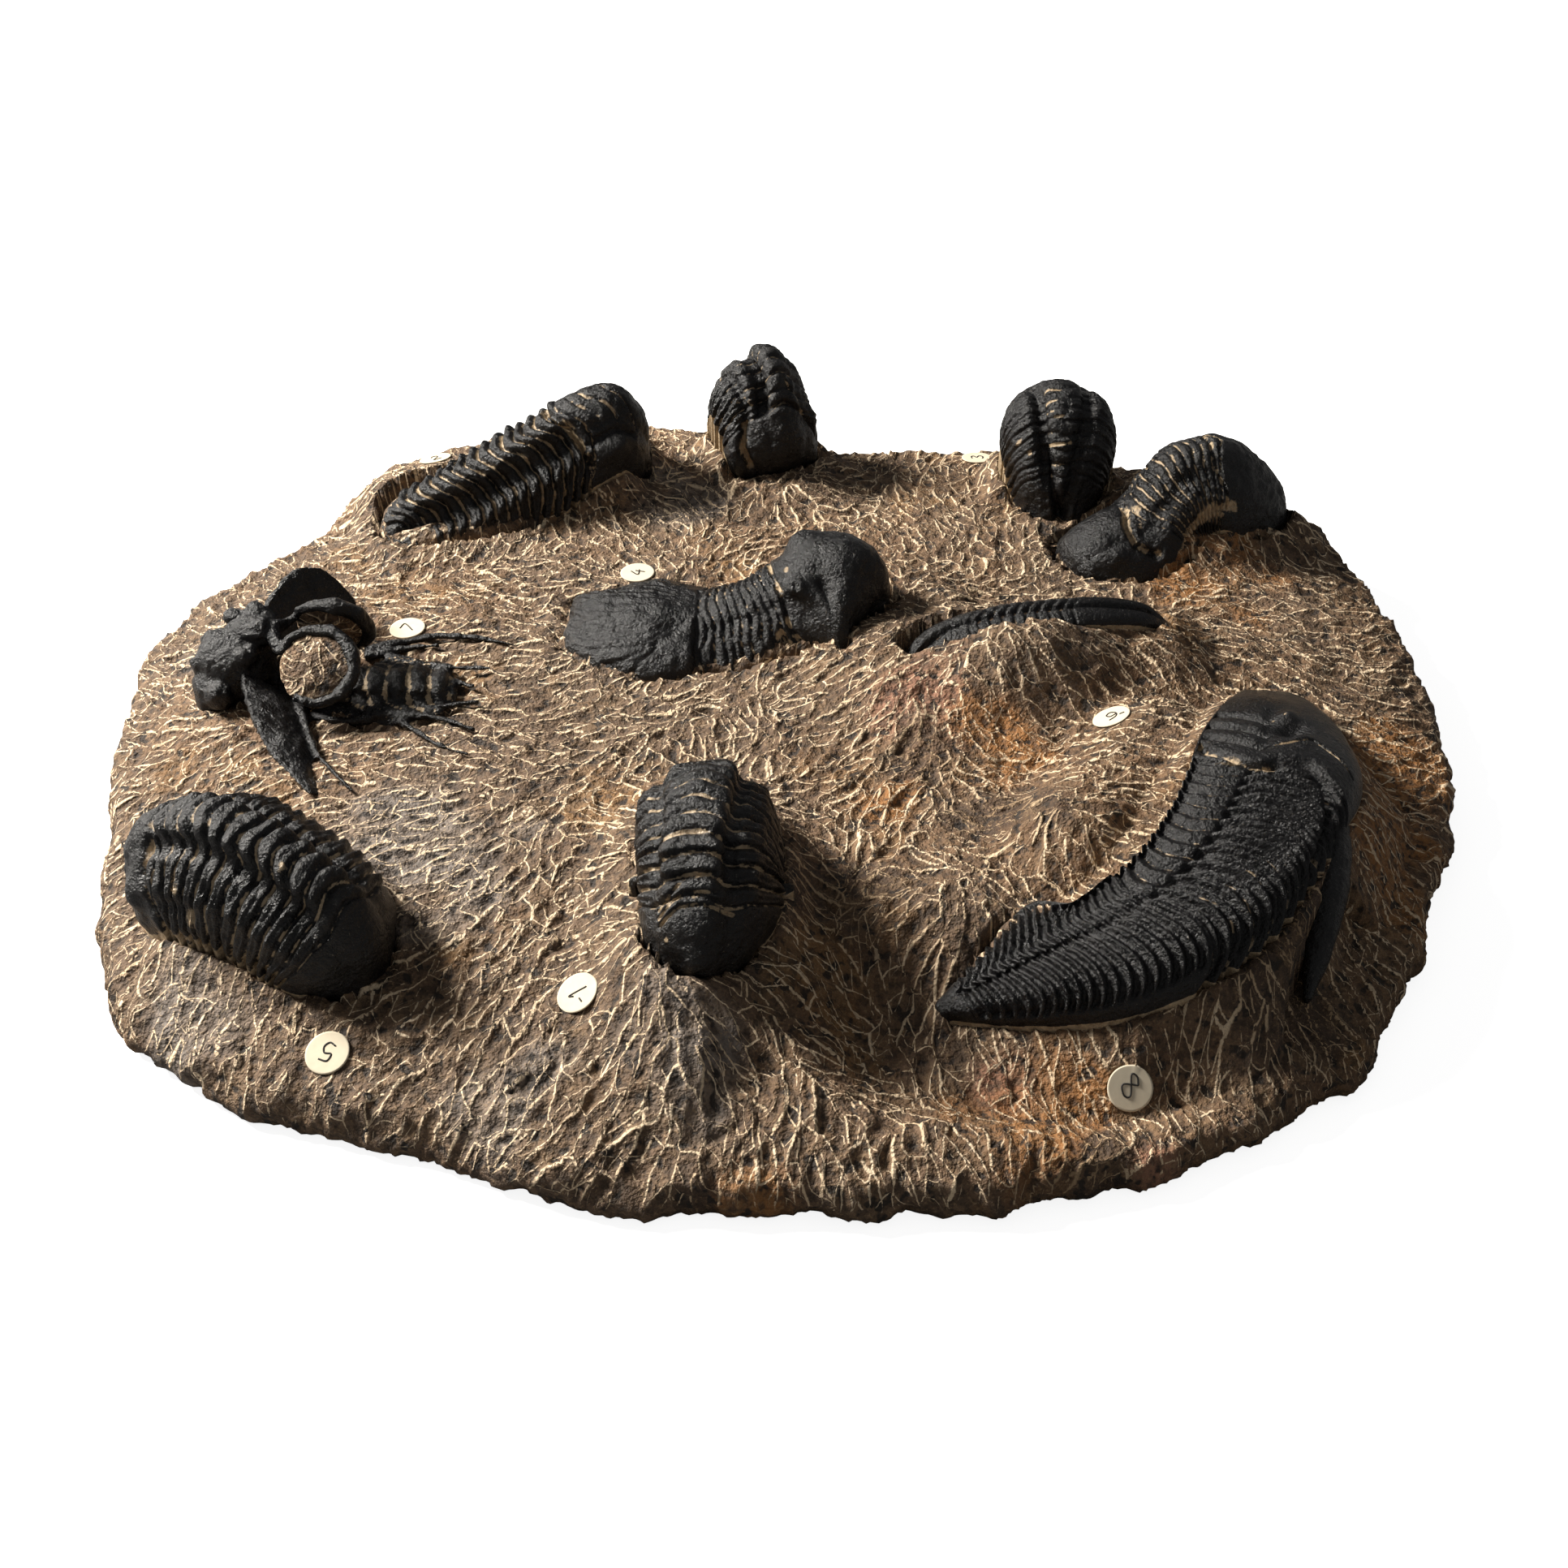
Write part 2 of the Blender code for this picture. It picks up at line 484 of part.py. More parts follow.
def horned_limbs(surface):
    """Horn, coils, spines and blades of the horned trilobite"""
    yield tube(*HORN, sides=8)
    for coil in (NEAR_COIL, FAR_COIL):
        yield tube(coil_points(coil), COIL_WIRE, 0.8 * COIL_WIRE)
    for spine in FAR_SPINES + NEAR_SPINES:
        yield tube(lying(spine, surface, SPINE_ROOT, SPINE_ROOT + REST), SPINE_ROOT, SPINE_TIP, sides=5)
    for (free_edge, foot), hollow in ((NEAR_BLADE, 1.0), (FAR_BLADE, -1.0)):
        yield blade(free_edge, lying(foot, surface, BLADE_ROOT, REST), BLADE_ROOT, BLADE_TIP, hollow)


def make_disc(name, place, stone, collection, material):
    """Round paper label laid on the stone, at the slope of the stone below it"""
    x, y = place
    step = 0.75 * DISC_RADIUS
    spots = [(x + step * i, y + step * j, ABOVE) for i, j in CROSS]
    hits = [stone.ray_cast(Vector(spot) * MM, Vector((0, 0, -1)))[0] for spot in spots]
    normal = (hits[1] - hits[2]).cross(hits[3] - hits[4]).normalized()
    turn = Vector((0, 0, 1)).rotation_difference(normal).to_matrix().to_4x4()
    least = 0.0
    for ring in (0.25, 0.5, 0.75, 1.0):
        for angle in np.arange(0, 2 * math.pi, math.pi / 12):
            rim = turn @ Vector((math.cos(angle), math.sin(angle), 0)) * DISC_RADIUS * ring * MM
            spot = hits[0] + rim
            below = stone.ray_cast(Vector((spot.x, spot.y, ABOVE * MM)), Vector((0, 0, -1)))[0]
            least = max(least, below.z - spot.z)
    lift = least + (DISC_LIFT + 0.5 * DISC_THICK) * MM / normal.z
    shape = bmesh.new()
    bmesh.ops.create_cone(shape, cap_ends=True, segments=DISC_SIDES, radius1=DISC_RADIUS * MM,
                          radius2=DISC_RADIUS * MM, depth=DISC_THICK * MM)
    disc = new_object(name, shape, collection, material)
    disc.matrix_world = Matrix.Translation(hits[0] + Vector((0, 0, lift))) @ turn
    return disc


for leftover in list(bpy.data.objects):
    bpy.data.objects.remove(leftover)

plate = new_collection("trilobite cluster plate")
pockets = new_collection("pockets")
limestone = new_material("limestone", STONE, 0.85)
shell = new_material("black calcite", FOSSIL, 0.4)
paper = new_material("paper", PAPER, 0.8)

slab = make_slab(plate, limestone)
surface = BVHTree.FromObject(slab, bpy.context.evaluated_depsgraph_get())
fossils = {name: make_trilobite(name, s, plate, shell, pockets) for name, s in TRILOBITES.items()}

limbs = new_collection("horned trilobite limbs")
for number, (middle, radii) in enumerate(HEAD_LUMPS):
    new_object(f"head_lump_{number}", ellipsoid(middle, radii), limbs)
    new_object(f"head_lump_pocket_{number}", ellipsoid(middle, [r + GAP for r in radii]), pockets)
for number, shape in enumerate(horned_limbs(surface)):
    new_object(f"limb_{number}", shape, limbs)
combine(fossils["horned_trilobite"], "UNION", limbs)

cheek = new_collection("cheek spine")
ridge, foot = CHEEK_SPINE
foot = lying(foot, surface, 0.5 * CHEEK_ROOT, REST)
new_object("cheek_spine", blade(ridge, foot, CHEEK_ROOT, CHEEK_TIP, 0), cheek)
combine(fossils["large_dalmanitid"], "UNION", cheek)

combine(slab, "DIFFERENCE", pockets)
for number, place in enumerate(DISCS, 1):
    make_disc(f"number_disc_{number}", place, surface, plate, paper)
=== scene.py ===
"""Trilobite cluster plate: ten black fossils prepared out of one slab of limestone, with eight paper discs.

Lengths are in millimetres in the object's own frame, and each mesh is scaled to metres as it is made.
"""
import math
from itertools import product

import bmesh
import bpy
import numpy as np
from mathutils import Matrix, Vector
from mathutils.bvhtree import BVHTree
from mathutils.kdtree import KDTree


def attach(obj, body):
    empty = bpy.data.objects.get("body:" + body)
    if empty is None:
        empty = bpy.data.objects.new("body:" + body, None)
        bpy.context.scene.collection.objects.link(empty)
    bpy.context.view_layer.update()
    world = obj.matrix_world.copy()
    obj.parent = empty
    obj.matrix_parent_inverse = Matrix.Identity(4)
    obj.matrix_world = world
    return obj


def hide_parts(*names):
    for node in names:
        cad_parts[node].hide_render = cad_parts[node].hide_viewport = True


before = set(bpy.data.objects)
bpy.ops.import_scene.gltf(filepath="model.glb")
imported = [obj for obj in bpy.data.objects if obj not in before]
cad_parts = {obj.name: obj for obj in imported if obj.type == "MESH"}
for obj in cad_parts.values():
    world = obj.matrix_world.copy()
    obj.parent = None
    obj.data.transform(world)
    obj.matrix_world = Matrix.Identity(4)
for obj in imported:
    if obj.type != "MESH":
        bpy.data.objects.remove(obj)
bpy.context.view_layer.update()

# Matrix slab
# The stone is a slab of brown Devonian limestone, broken out of its bed and worked down round the fossils
# with a pneumatic stylus. Each stroke leaves a shallow scallop with a crushed, cream-coloured crest.
MM = 0.001
RADII = (146.5, 149, 154, 142, 132, 117, 118, 132.5, 143, 148, 137, 148, 146, 143.5, 149, 144, 131,
         130, 127.5, 131.5, 136, 142, 140, 142)  # outline every 15 degrees from +X
RIM_FRONT, RIM_BACK = 6.5, 15.0  # height of the upper rim edge
UNDERCUT, FOOT_SHARE = 9.0, 0.1  # how far the foot stands back under the rim, and its share of the height
RIM_BULGE = 2.0  # how far the flank stands out past the upper edge
PLATEAU, RISE = 20.0, 28.0  # height well inside the rim, and distance in which the stone reaches it
BANKS = (
    (-34, 90, -90, 66, 6, 18, 4),
    (-48, 104, -96, 82, 5, 16, 7),
    (0, 94, -10, 112, 10, 16, 3),
    (96, 66, 122, 76, 10, 16, 8),
    (6, 24, 22, 26, 12, 16, 4),
    (28, -1, 52, 4, 3, 26, 7),
    (48, 4, 78, 12, 3, 20, 7),
    (78, -22, 58, -52, 3, 16, 7),
    (56, -50, 34, -70, 2, 18, 3),
    (-16, -84, -15, -54, 9, 16, 5),
    (-21, -88, -19, -104, 2, 12, 5),
    (-110, 6, -114, -6, 8, 14, 2),
    (24, -95, 62, -102, 8, 16, -7),
)  # mounds and one hollow: both ends, half width of the top, reach of the slope, lift
DISCS = ((-79.5, -99), (-36, -90), (68.5, -17), (60.5, -105), (51.5, 106), (-84.5, 21.5), (-34, 44),
         (-88, 90))  # middles of the paper discs, near which the stone was left smoother
STAINS_AND_SHADE = {
    "ochre": ((44, -111, 15), (119, -61, 18), (-3, -128, 9), (46, -22, 11), (100, 40, 20), (20, -40, 8),
              (130, -22, 20)),
    "pink": ((39, -104, 9), (62, -118, 8), (-52, 96, 12), (30, -14, 16)),
    "grey": ((-14, -104, 13), (-105, -88, 16), (-47, -108, 12), (-23, 78, 13), (-70, -55, 22),
             (-120, 20, 15)),
    # This set is dark brown painted shade, laid where the fossils and the ridge shade the ground beside them
    "umber": ((43, -44, 17), (30, -26, 10), (48, -122, 13), (14, -72, 15), (92, -84, 14), (-8, -130, 9)),
}  # coloured parts of the bed: middle and radius of each
GRID = 284  # squares along each side of the upper surface
RIM_RINGS, FOOT_RINGS = 8, 5


def smooth(x):
    """Ease from 0 to 1"""
    x = np.clip(x, 0, 1)
    return x * x * (3 - 2 * x)


def random_of(cells, seed):
    """Repeatable random value from 0 to 1 for whole-number cells, whose last axis holds their coordinates"""
    cells = np.asarray(cells, np.int64)
    h = np.full(cells.shape[:-1], 2166136261 + 7919 * seed, np.int64)
    for k in range(cells.shape[-1]):
        h = ((h ^ (cells[..., k] & 0xFFFFF)) * 16777619) & 0xFFFFFFFF
        h ^= h >> 15
    h = (h * 2246822519) & 0xFFFFFFFF
    return ((h ^ (h >> 13)) & 0xFFFFFF) / float(0xFFFFFF)


def noise(points, size, seed=0):
    """Smooth random values from -1 to 1 over points, with bumps of about a size"""
    p = np.asarray(points, float) / size + 19.7 * (seed + 1)
    cell = np.floor(p).astype(np.int64)
    f = smooth(p - cell)
    total = 0.0
    for corner in product((0, 1), repeat=p.shape[-1]):
        weight = np.prod(np.where(corner, f, 1 - f), axis=-1)
        total = total + weight * random_of(cell + np.array(corner), seed)
    return 2 * total - 1


def on_curve(a, b, c, d, f):
    """Value at a share f of the way from b to c, on a smooth curve through a, b, c and d"""
    return 0.5 * (2 * b + (c - a) * f + (2 * a - 5 * b + 4 * c - d) * f**2 + (3 * b - a - 3 * c + d) * f**3)


def from_line(x, y, x0, y0, x1, y1):
    """Distance of points in a plane from the line between two ends"""
    run = np.array((x1 - x0, y1 - y0), float)
    t = np.clip(((x - x0) * run[0] + (y - y0) * run[1]) / (run @ run), 0, 1)
    return np.hypot(x - x0 - t * run[0], y - y0 - t * run[1])


def unit(vectors, least=0.0):
    """Vectors along the last axis, each brought to a length of 1"""
    return vectors / (np.linalg.norm(vectors, axis=-1, keepdims=True) + least)


def outline(angle):
    """Radius of the slab's outline at an angle from +X, rounded through the radii"""
    step = np.asarray(angle) / (2 * math.pi) * len(RADII) % len(RADII)
    i = np.floor(step).astype(int)
    return on_curve(*(np.take(RADII, i + k, mode="wrap") for k in (-1, 0, 1, 2)), step - i)


def rim_height(angle):
    """Height of the upper edge of the rim at an angle from +X"""
    return RIM_FRONT + (RIM_BACK - RIM_FRONT) * smooth(0.5 + 0.6 * np.sin(angle))


def ground(x, y):
    """Height of the stone at x, y before it is textured"""
    angle = np.arctan2(y, x)
    inside = np.maximum(outline(angle) - np.hypot(x, y), 0)
    rim = rim_height(angle)
    z = rim + (PLATEAU - rim) * (1 - np.exp(-inside / RISE))
    fade = smooth(inside / 15)
    for *ends, top, reach, lift in BANKS:
        z = z + lift * fade * smooth(1 - (from_line(x, y, *ends) - top) / reach)
    return z


def downhill(x, y):
    """Direction in plan in which the stone falls, away from fossils and towards the rim"""
    step = 3.0
    slope_x = (ground(x + step, y) - ground(x - step, y)) / (2 * step)
    slope_y = (ground(x, y + step) - ground(x, y - step)) / (2 * step)
    out = np.hypot(x, y) + 1e-6
    pull = 0.6 * smooth((out - 85) / 50)
    angle = np.arctan2(pull * y / out - slope_y, pull * x / out - slope_x)
    return angle + 0.8 * noise(np.stack([x, y], -1), 30, 5)


class Scallops:
    """Cells that the stylus strokes leave, longer along the fall of the stone than across it"""

    def __init__(self, spacing, length, width, seed, rarity):
        self.spacing, self.seed, self.rarity = spacing, seed, rarity
        self.length, self.width = length, width

    def nearest(self, plan):
        """The two nearest cells to each point, as rows of middle x, y, direction and random value"""
        home = np.floor(plan / self.spacing).astype(np.int64)
        found = []
        for step in product((-2, -1, 0, 1, 2), repeat=2):
            cell = home + np.array(step)
            middle = (cell + 0.1 + 0.8 * np.stack([random_of(cell, self.seed),
                                                   random_of(cell, self.seed + 1)], -1)) * self.spacing
            turn = downhill(middle[..., 0], middle[..., 1]) + 0.45 * (random_of(cell, self.seed + 2) - 0.5)
            chance = random_of(cell, self.seed + 3)
            found.append(np.concatenate([middle, turn[..., None], chance[..., None]], -1))
        found = np.stack(found, 1)
        near = np.argsort(self.reach(plan[:, None], found), axis=1)[:, :2]
        return np.take_along_axis(found, near[..., None], 1)

    def reach(self, plan, cells):
        """Distance from cells, counted in cell sizes"""
        dx, dy = plan[..., 0] - cells[..., 0], plan[..., 1] - cells[..., 1]
        c, s = np.cos(cells[..., 2]), np.sin(cells[..., 2])
        return np.hypot((dx * c + dy * s) / self.length, (dy * c - dx * s) / self.width)

    def edge(self, plan, pair):
        """Signed distance in millimetres to the crest between a pair of cells"""
        step = 0.05

        def gap(p):
            return self.reach(p, pair[:, 0]) - self.reach(p, pair[:, 1])

        here = gap(plan)
        slope = np.hypot(gap(plan + (step, 0)) - here, gap(plan + (0, step)) - here) / step
        return here / np.maximum(slope, 0.02)

    def strength(self, pair):
        """How bold the crest between each pair of cells is, from 0 to 1, and weaker across the fall"""
        across = pair[:, 1, :2] - pair[:, 0, :2]
        along = np.cos(np.arctan2(across[:, 1], across[:, 0]) - pair[:, 0, 2])
        chance = random_of(np.round(pair[:, :, 3].sum(1) * 9973)[:, None].astype(int), 77)
        return np.clip((0.1 + 1.2 * chance**self.rarity) * (1 - 0.65 * along**2), 0, 1)


# Bodies of the fossils, down to which the stone is worked. Stations run along a body: distance along and
# aside (or x and y on the slab, where it has no heading), height, half width, fall to its sides, and roll.
# Grooves, lumps and patches are placed by distance along and across: points, width, depth and stone left in
# a groove; middle, radii and rise of a lump; middle and radius of a patch of stone.
PLAIN = dict(
    place=(0, 0), heading=None,  # where the body starts, and its direction in degrees
    base=8,  # height down to which its sides reach
    axis=0.34, lobe=1.0,  # share of the half width that the middle lobe takes, and its rise
    lean=0.5, sweep=(0, 0),  # how far the rings lean with the slope, and trail at their sides
    flat=1.0,  # above 1, the back is flatter and the sides are steeper
    head=0.25, tail=0.85, segments=11, tail_ribs=0,  # shares of the length, and counts between and behind
    rib=1.0, sharp=False, pleural=0.3, tips=1.0,  # depth of furrows, their shape, and open ends of the ribs
    fan=(0.5, 0.0), bow=0.6, lead=0.0, straight=0.0,  # how the ribs spread, arch and run back across
    knobs=(0.6, 0.0), gutter=(1.0, 0.08, 0.0, 1.2),  # knobs on the rings, furrow along the lobe
    cream=1.0, worn=1.0,  # stone left between ribs, and roughness of the shell
    banked=(5, 5), hidden=None,  # stone banked against both flanks, and flank that stays in the stone
    grooves=(), lumps=(), patches=())
TRILOBITES = {
    "cheirurid_back_left": dict(
        PLAIN, place=(-34, 93), heading=206, base=12, axis=0.40, lobe=3.0, lean=0.35, sweep=(0, 0.04),
        head=0.38, tail=0.90, segments=14, tail_ribs=2, rib=1.8, lead=5.0, cream=1.6, knobs=(0.62, 0.9),
        gutter=(1.0, 0.08, 0.36, 1.2),
        grooves=((((21, 1), (20.5, -2), (16, -6), (13, -9)), 0.4, 0.8, 0.8),
                 (((27, 1), (26, -2), (22.5, -5), (20, -8)), 0.4, 0.7, 0.7),
                 (((30, 1), (29, -3), (25, -7)), 0.5, 0.6, 0.8),
                 (((36, 3), (35, -3), (32.5, -7), (30.5, -12), (29, -16)), 1.0, 2.2, 0.9),
                 (((30, -11), (22, -10.5), (14, -11)), 0.9, 1.0, 0.0)),
        lumps=((22, -14, 6, 3, 1.2),),
        stations=((0, 0, 28, 7, 7, 0), (2, 0, 36, 10.5, 12, 0), (9, 0, 43.5, 12, 15, 0),
                  (20, 0, 42, 13, 15, 0), (31, 0, 37.5, 14.5, 15.5, 0), (42, 0, 33.5, 14.5, 15, 0),
                  (53, 0, 29.5, 13.5, 14, 0), (63, 0, 26, 12, 11, 0), (68.5, 0, 22.5, 9, 7, 0),
                  (71, 0, 18, 4.5, 4, 0))),
    "enrolled_phacopid_back": dict(
        PLAIN, place=(1.5, 90), heading=115, axis=0.25, lobe=1.5, lean=0.4,
        head=0.27, segments=10, rib=0.8, cream=0.8, gutter=(0.0, 0.1, 0.0, 1.2),
        grooves=((((50, -3), (38, -3.5), (29, -4), (22, -5)), 1.6, 3.2, 0.0),
                 (((44, -11), (32, -9.5), (22, -9)), 1.2, 1.4, 0.0),
                 (((20, -10), (14, -12), (8, -11)), 1.0, 2.6, 1.1),
                 (((20, -6), (20.5, 0), (18, 6), (15, 10)), 0.8, 1.2, 0.3),
                 (((26, 1.5), (22, 4), (19, 5.5)), 0.35, 0.5, 1.2)),
        lumps=((9, -2, 8, 7, 1.6), (13, -15, 6, 2.5, 2.0), (20, 9.5, 2.5, 2, 1.2)),
        patches=((26, -9.5, 1.2), (24, -7, 1.0), (34, -8, 0.9), (40, 2, 0.8)),
        stations=((1, 0, 19, 9, 6, 8), (-1, 0, 28, 12, 10, 8), (1, 0, 37, 13.5, 13, 8),
                  (6.5, 0, 45, 13.5, 15, 8), (14, 0, 48.5, 13.5, 16, 8), (21, 0, 45, 13, 15, 8),
                  (26, 0, 36, 12, 13, 8), (27.5, 0, 26, 10, 10, 8), (26, 0, 18, 7, 6, 8))),
    "arched_phacopid_back": dict(
        PLAIN, place=(69, 108), heading=-90, axis=0.28,
        head=0.1, tail=0.84, segments=16, rib=0.7, flat=1.6, cream=0.3, gutter=(0.0, 0.1, 0.0, 1.2),
        grooves=((((30, 6.5), (45, 6), (58, 5.2), (65, 3.8), (73, 1.5)), 1.6, 2.2, 0.0),
                 (((30, -6), (45, -5), (58, -3), (66, -2), (73, 0)), 1.8, 1.7, 0.0),
                 (((40, 5), (40.5, 1)), 0.35, 0.3, 1.3), (((44, 5), (44, 2)), 0.3, 0.3, 1.2),
                 (((47, 5), (47, 3)), 0.3, 0.3, 1.3), (((48.5, 2.5), (48.5, 0.5)), 0.3, 0.3, 1.2),
                 (((52.3, 5), (52.3, 3)), 0.3, 0.3, 1.2), (((55.5, 5), (55, -1)), 0.4, 0.4, 1.4),
                 (((60.5, 4.5), (60.2, 0)), 0.4, 0.4, 1.4), (((63, 4), (68, 2.5)), 0.3, 0.0, 1.1)),
        patches=((56, 9, 0.8), (52, 12, 0.8)),
        stations=((0, 0, 18, 8, 6, 0), (2, 0, 31, 12.5, 11, 0), (9, 0, 41, 14, 15, 0),
                  (19, 0, 46, 14.5, 17, 0), (28, 0, 44.5, 14.5, 17, 0), (34, 0, 37.5, 13.5, 15, 0),
                  (37.5, 0, 28, 11, 12, 0), (38.5, 0, 18, 7, 7, 0))),
    "arched_phacopid_right": dict(
        PLAIN, place=(66, 52.5), heading=21, lobe=1.4,
        tail=0.58, rib=0.9, fan=(0.46, 0.9), cream=1.25, gutter=(0.4, 0.1, 0.27, 0.57),
        grooves=((((23, -4), (22, 1), (20, 4), (20.5, 8), (24, 12)), 0.8, 1.8, 1.2),
                 (((50, -3), (49, 2), (47.5, 7), (49, 12), (49, 15)), 0.45, 0.9, 1.0),
                 (((28, 16.5), (36, 15.5), (44, 14.5), (52, 15)), 1.2, 0.4, 1.6)),
        lumps=((9, 7, 5, 4, 1.4), (9, -2, 5, 4, 0.8), (15, 9, 2, 2, 1.0)),
        patches=((24, 2, 1.4), (23, 5, 1.0)),
        stations=((0, -1, 16, 7, 5, 0), (2, -2, 22, 11, 9, 0), (10, -2.5, 28, 13.5, 13, 0),
                  (18, -2, 30, 14, 14, 0), (23, 0, 36, 13.5, 15, 0), (29, 0, 41, 13.5, 16, 0),
                  (38, 0, 42.5, 14, 16, 0), (48, 0, 38.5, 14, 16, 0), (56, 0, 31.5, 13, 14, 0),
                  (61, 0, 24, 10, 10, 0), (62.5, 0, 15, 7, 6, 0))),
    "fan_tailed_trilobite": dict(
        PLAIN, base=10, lean=0.6, pleural=0.1,
        head=0.44, tail=0.615, segments=9, rib=0.9, cream=0.9, gutter=(0.4, 0.1, 0.44, 0.6),
        grooves=tuple((((59, 0.2 * y), (68, 0.7 * y), (90 - 0.035 * y * y, y)), 0.45, 0.35, 0.0)
                      for y in range(-24, 18, 3)) + (
                     (((40.5, 6), (40.5, -2), (40, -8), (41, -14), (40, -19), (38, -24)), 0.45, 1.2, 1.0),
                     (((43, -16), (42.5, -20), (42, -25)), 1.0, 0.8, 1.2),
                     (((58, 6), (58, -24)), 0.6, 0.8, 0.2)),
        lumps=((31, 4, 3.5, 3.5, 2.2), (36.5, -8, 2.3, 2.3, 2.6), (36.5, -8, 0.8, 0.8, -1.2),
               (30, -10, 3, 5, -1.4), (20, -2, 8, 6, 0.8)),
        patches=((37, -3, 0.7), (61, -24, 1.6)),
        stations=((25, 26, 22, 6, 4, 0), (22.5, 26, 33, 11, 13, 0), (15, 25, 39.5, 16, 17, 0),
                  (6, 23.5, 39, 18.5, 19, 0), (0, 22, 35.5, 15.5, 17, 0), (-8, 20.5, 31, 15, 16, 0),
                  (-16, 20.5, 27.5, 16, 13.5, 0), (-22, 20.5, 27.5, 17.5, 11, 0),
                  (-31, 21.5, 27.5, 19, 10, 0), (-41, 25, 25, 14.5, 7, 0), (-47, 28.8, 22, 8, 4, 0),
                  (-49, 29, 19, 4, 2, 0))),
    "half_buried_trilobite": dict(
        PLAIN, base=12, lobe=0.8, lean=1.0,
        head=0.30, tail=0.66, segments=9, rib=0.7, lead=3, cream=0.7, worn=0.3, tips=0.2,
        lumps=((32, 0, 60, 20, 1.1),),
        stations=((26, 3, 23, 3, 2, -20), (34, 8, 28, 5.5, 4, -28), (46, 11, 30.5, 6.5, 4, -30),
                  (58, 13, 31, 6.5, 4, -30), (70, 15.5, 30, 6, 4, -28), (79, 16.5, 28, 4.5, 3, -24),
                  (85, 17.5, 24, 2.5, 2, -20))),
    "large_dalmanitid": dict(
        PLAIN, base=4, axis=0.15, lobe=0.5, lean=1.0, sweep=(-0.10, 0.12), sharp=True,
        head=0.375, tail=0.69, tail_ribs=18, rib=1.8, flat=1.25, hidden=(0.16, 0.76, 0.92),
        banked=(12, 7), cream=0.75, gutter=(0.35, 0.03, 0.36, 1.2), worn=0.35, tips=0.6,
        grooves=((((43, 6), (47, 3), (49, -2), (50, -7), (50, -9)), 0.9, 1.4, 0.9),
                 (((43, -5), (41.5, -9), (38.5, -14), (40.5, -18), (43, -26)), 0.35, 0.7, 1.3),
                 (((30, -6), (29, -8)), 0.3, 0.3, 1.2),
                 (((29, 5), (31, -4)), 0.9, 1.6, 0.0), (((35, 5), (37, -4.5)), 0.9, 1.7, 0.0),
                 (((40.5, 4), (43, -5)), 0.9, 1.6, 0.2), (((26, -5), (34, -5.5), (44, -6)), 0.9, 0.5, 0.0),
                 (((49, -9), (48, -14), (51, -20), (58, -26), (66, -29)), 1.5, 1.6, 0.0)),
        lumps=((34, -10, 3.2, 3.0, -2.2), (29, -9, 3, 2, 1.4), (38, -12, 3, 2, 0.8), (20, -3, 7, 5, 0.8)),
        stations=((103.5, 0.5, 18, 12, 5, 12), (96.5, -16, 26.5, 20, 9, 12), (89.5, -32, 31, 25, 11.5, 12),
                  (83, -47, 33, 23.5, 12, 12), (76.5, -60, 34, 22, 12.5, 12),
                  (68, -71.5, 32.5, 21, 12.5, 11), (57, -79.5, 29, 18.5, 11.5, 7),
                  (45, -84.5, 24.5, 14, 10, 3), (35, -87.5, 18.5, 8, 7, 1), (28, -89, 13, 2.5, 3, 0))),
    "phacopid_front_left": dict(
        PLAIN, place=(-72.5, -85), heading=151, base=4, axis=0.30, lobe=2.2, lean=0.6, sweep=(0, 0.03),
        head=0.20, tail=0.71, segments=12, rib=1.1, cream=1.15, gutter=(1.6, 0.07, 0.2, 0.74),
        knobs=(0.62, 0.8), lead=1.5,
        grooves=((((63, 8), (63, -5), (64, -10), (62, -15), (58, -21)), 1.0, 1.4, 0.7),
                 (((66, -21), (52, -20.5), (40, -21), (27, -21)), 1.0, 0.3, 1.2)),
        lumps=((69, -13, 2.5, 3.5, 1.3), (70, -5, 4, 5, 0.6)),
        patches=((30, -2.5, 1.2), (53, -12, 1.8), (47, -16, 1.3)),
        stations=((0, 0, 14, 7, 6, -8), (1, 0, 25, 12, 12, -9), (9, 0, 34.5, 14.5, 17, -10),
                  (22, 0, 39.5, 15, 20, -10), (35, 0, 40, 15.5, 20, -10), (47, 0, 34.5, 14.5, 17, -9),
                  (55.5, 0, 25, 12, 13, -7), (58, 0, 14, 7, 6, -5))),
    "phacopid_front_centre": dict(
        PLAIN, place=(-16, -90.5), heading=88, axis=0.37, lobe=2.0, lean=0.8, sweep=(0, 0.03),
        tail=0.86, rib=1.3, flat=1.3, cream=1.4, gutter=(1.1, 0.06, 0.26, 1.2), knobs=(0.6, 0.6),
        grooves=((((15, -6), (18.5, -1.5), (19, 3), (17.5, 8)), 0.35, 0.7, 1.2),
                 (((16.5, -6), (21, -1), (21, 5)), 0.3, 0.6, 1.1),
                 (((18, -6), (23, -1), (24.5, 5)), 0.3, 0.6, 1.1)),
        lumps=((9, 2, 3, 3, 1.0), (46, 0, 6, 3.5, 1.2), (50, -9, 6, 3, 1.2)),
        patches=((2, -3, 0.8), (13, -4, 0.5)),
        stations=((1, 0, 17, 7.5, 6, -8), (-0.5, 0, 26, 11, 11, -10), (4, 0, 35, 13, 15, -11),
                  (14, 0, 42, 13.8, 18, -10), (24, 0, 42, 14.2, 18.5, -8), (34, 0, 39.5, 14.5, 17, -6),
                  (41, 0, 35.5, 14.5, 15, -4), (45.5, 0, 28, 13, 12, -2), (47, 0, 20, 10, 8, 0))),
}
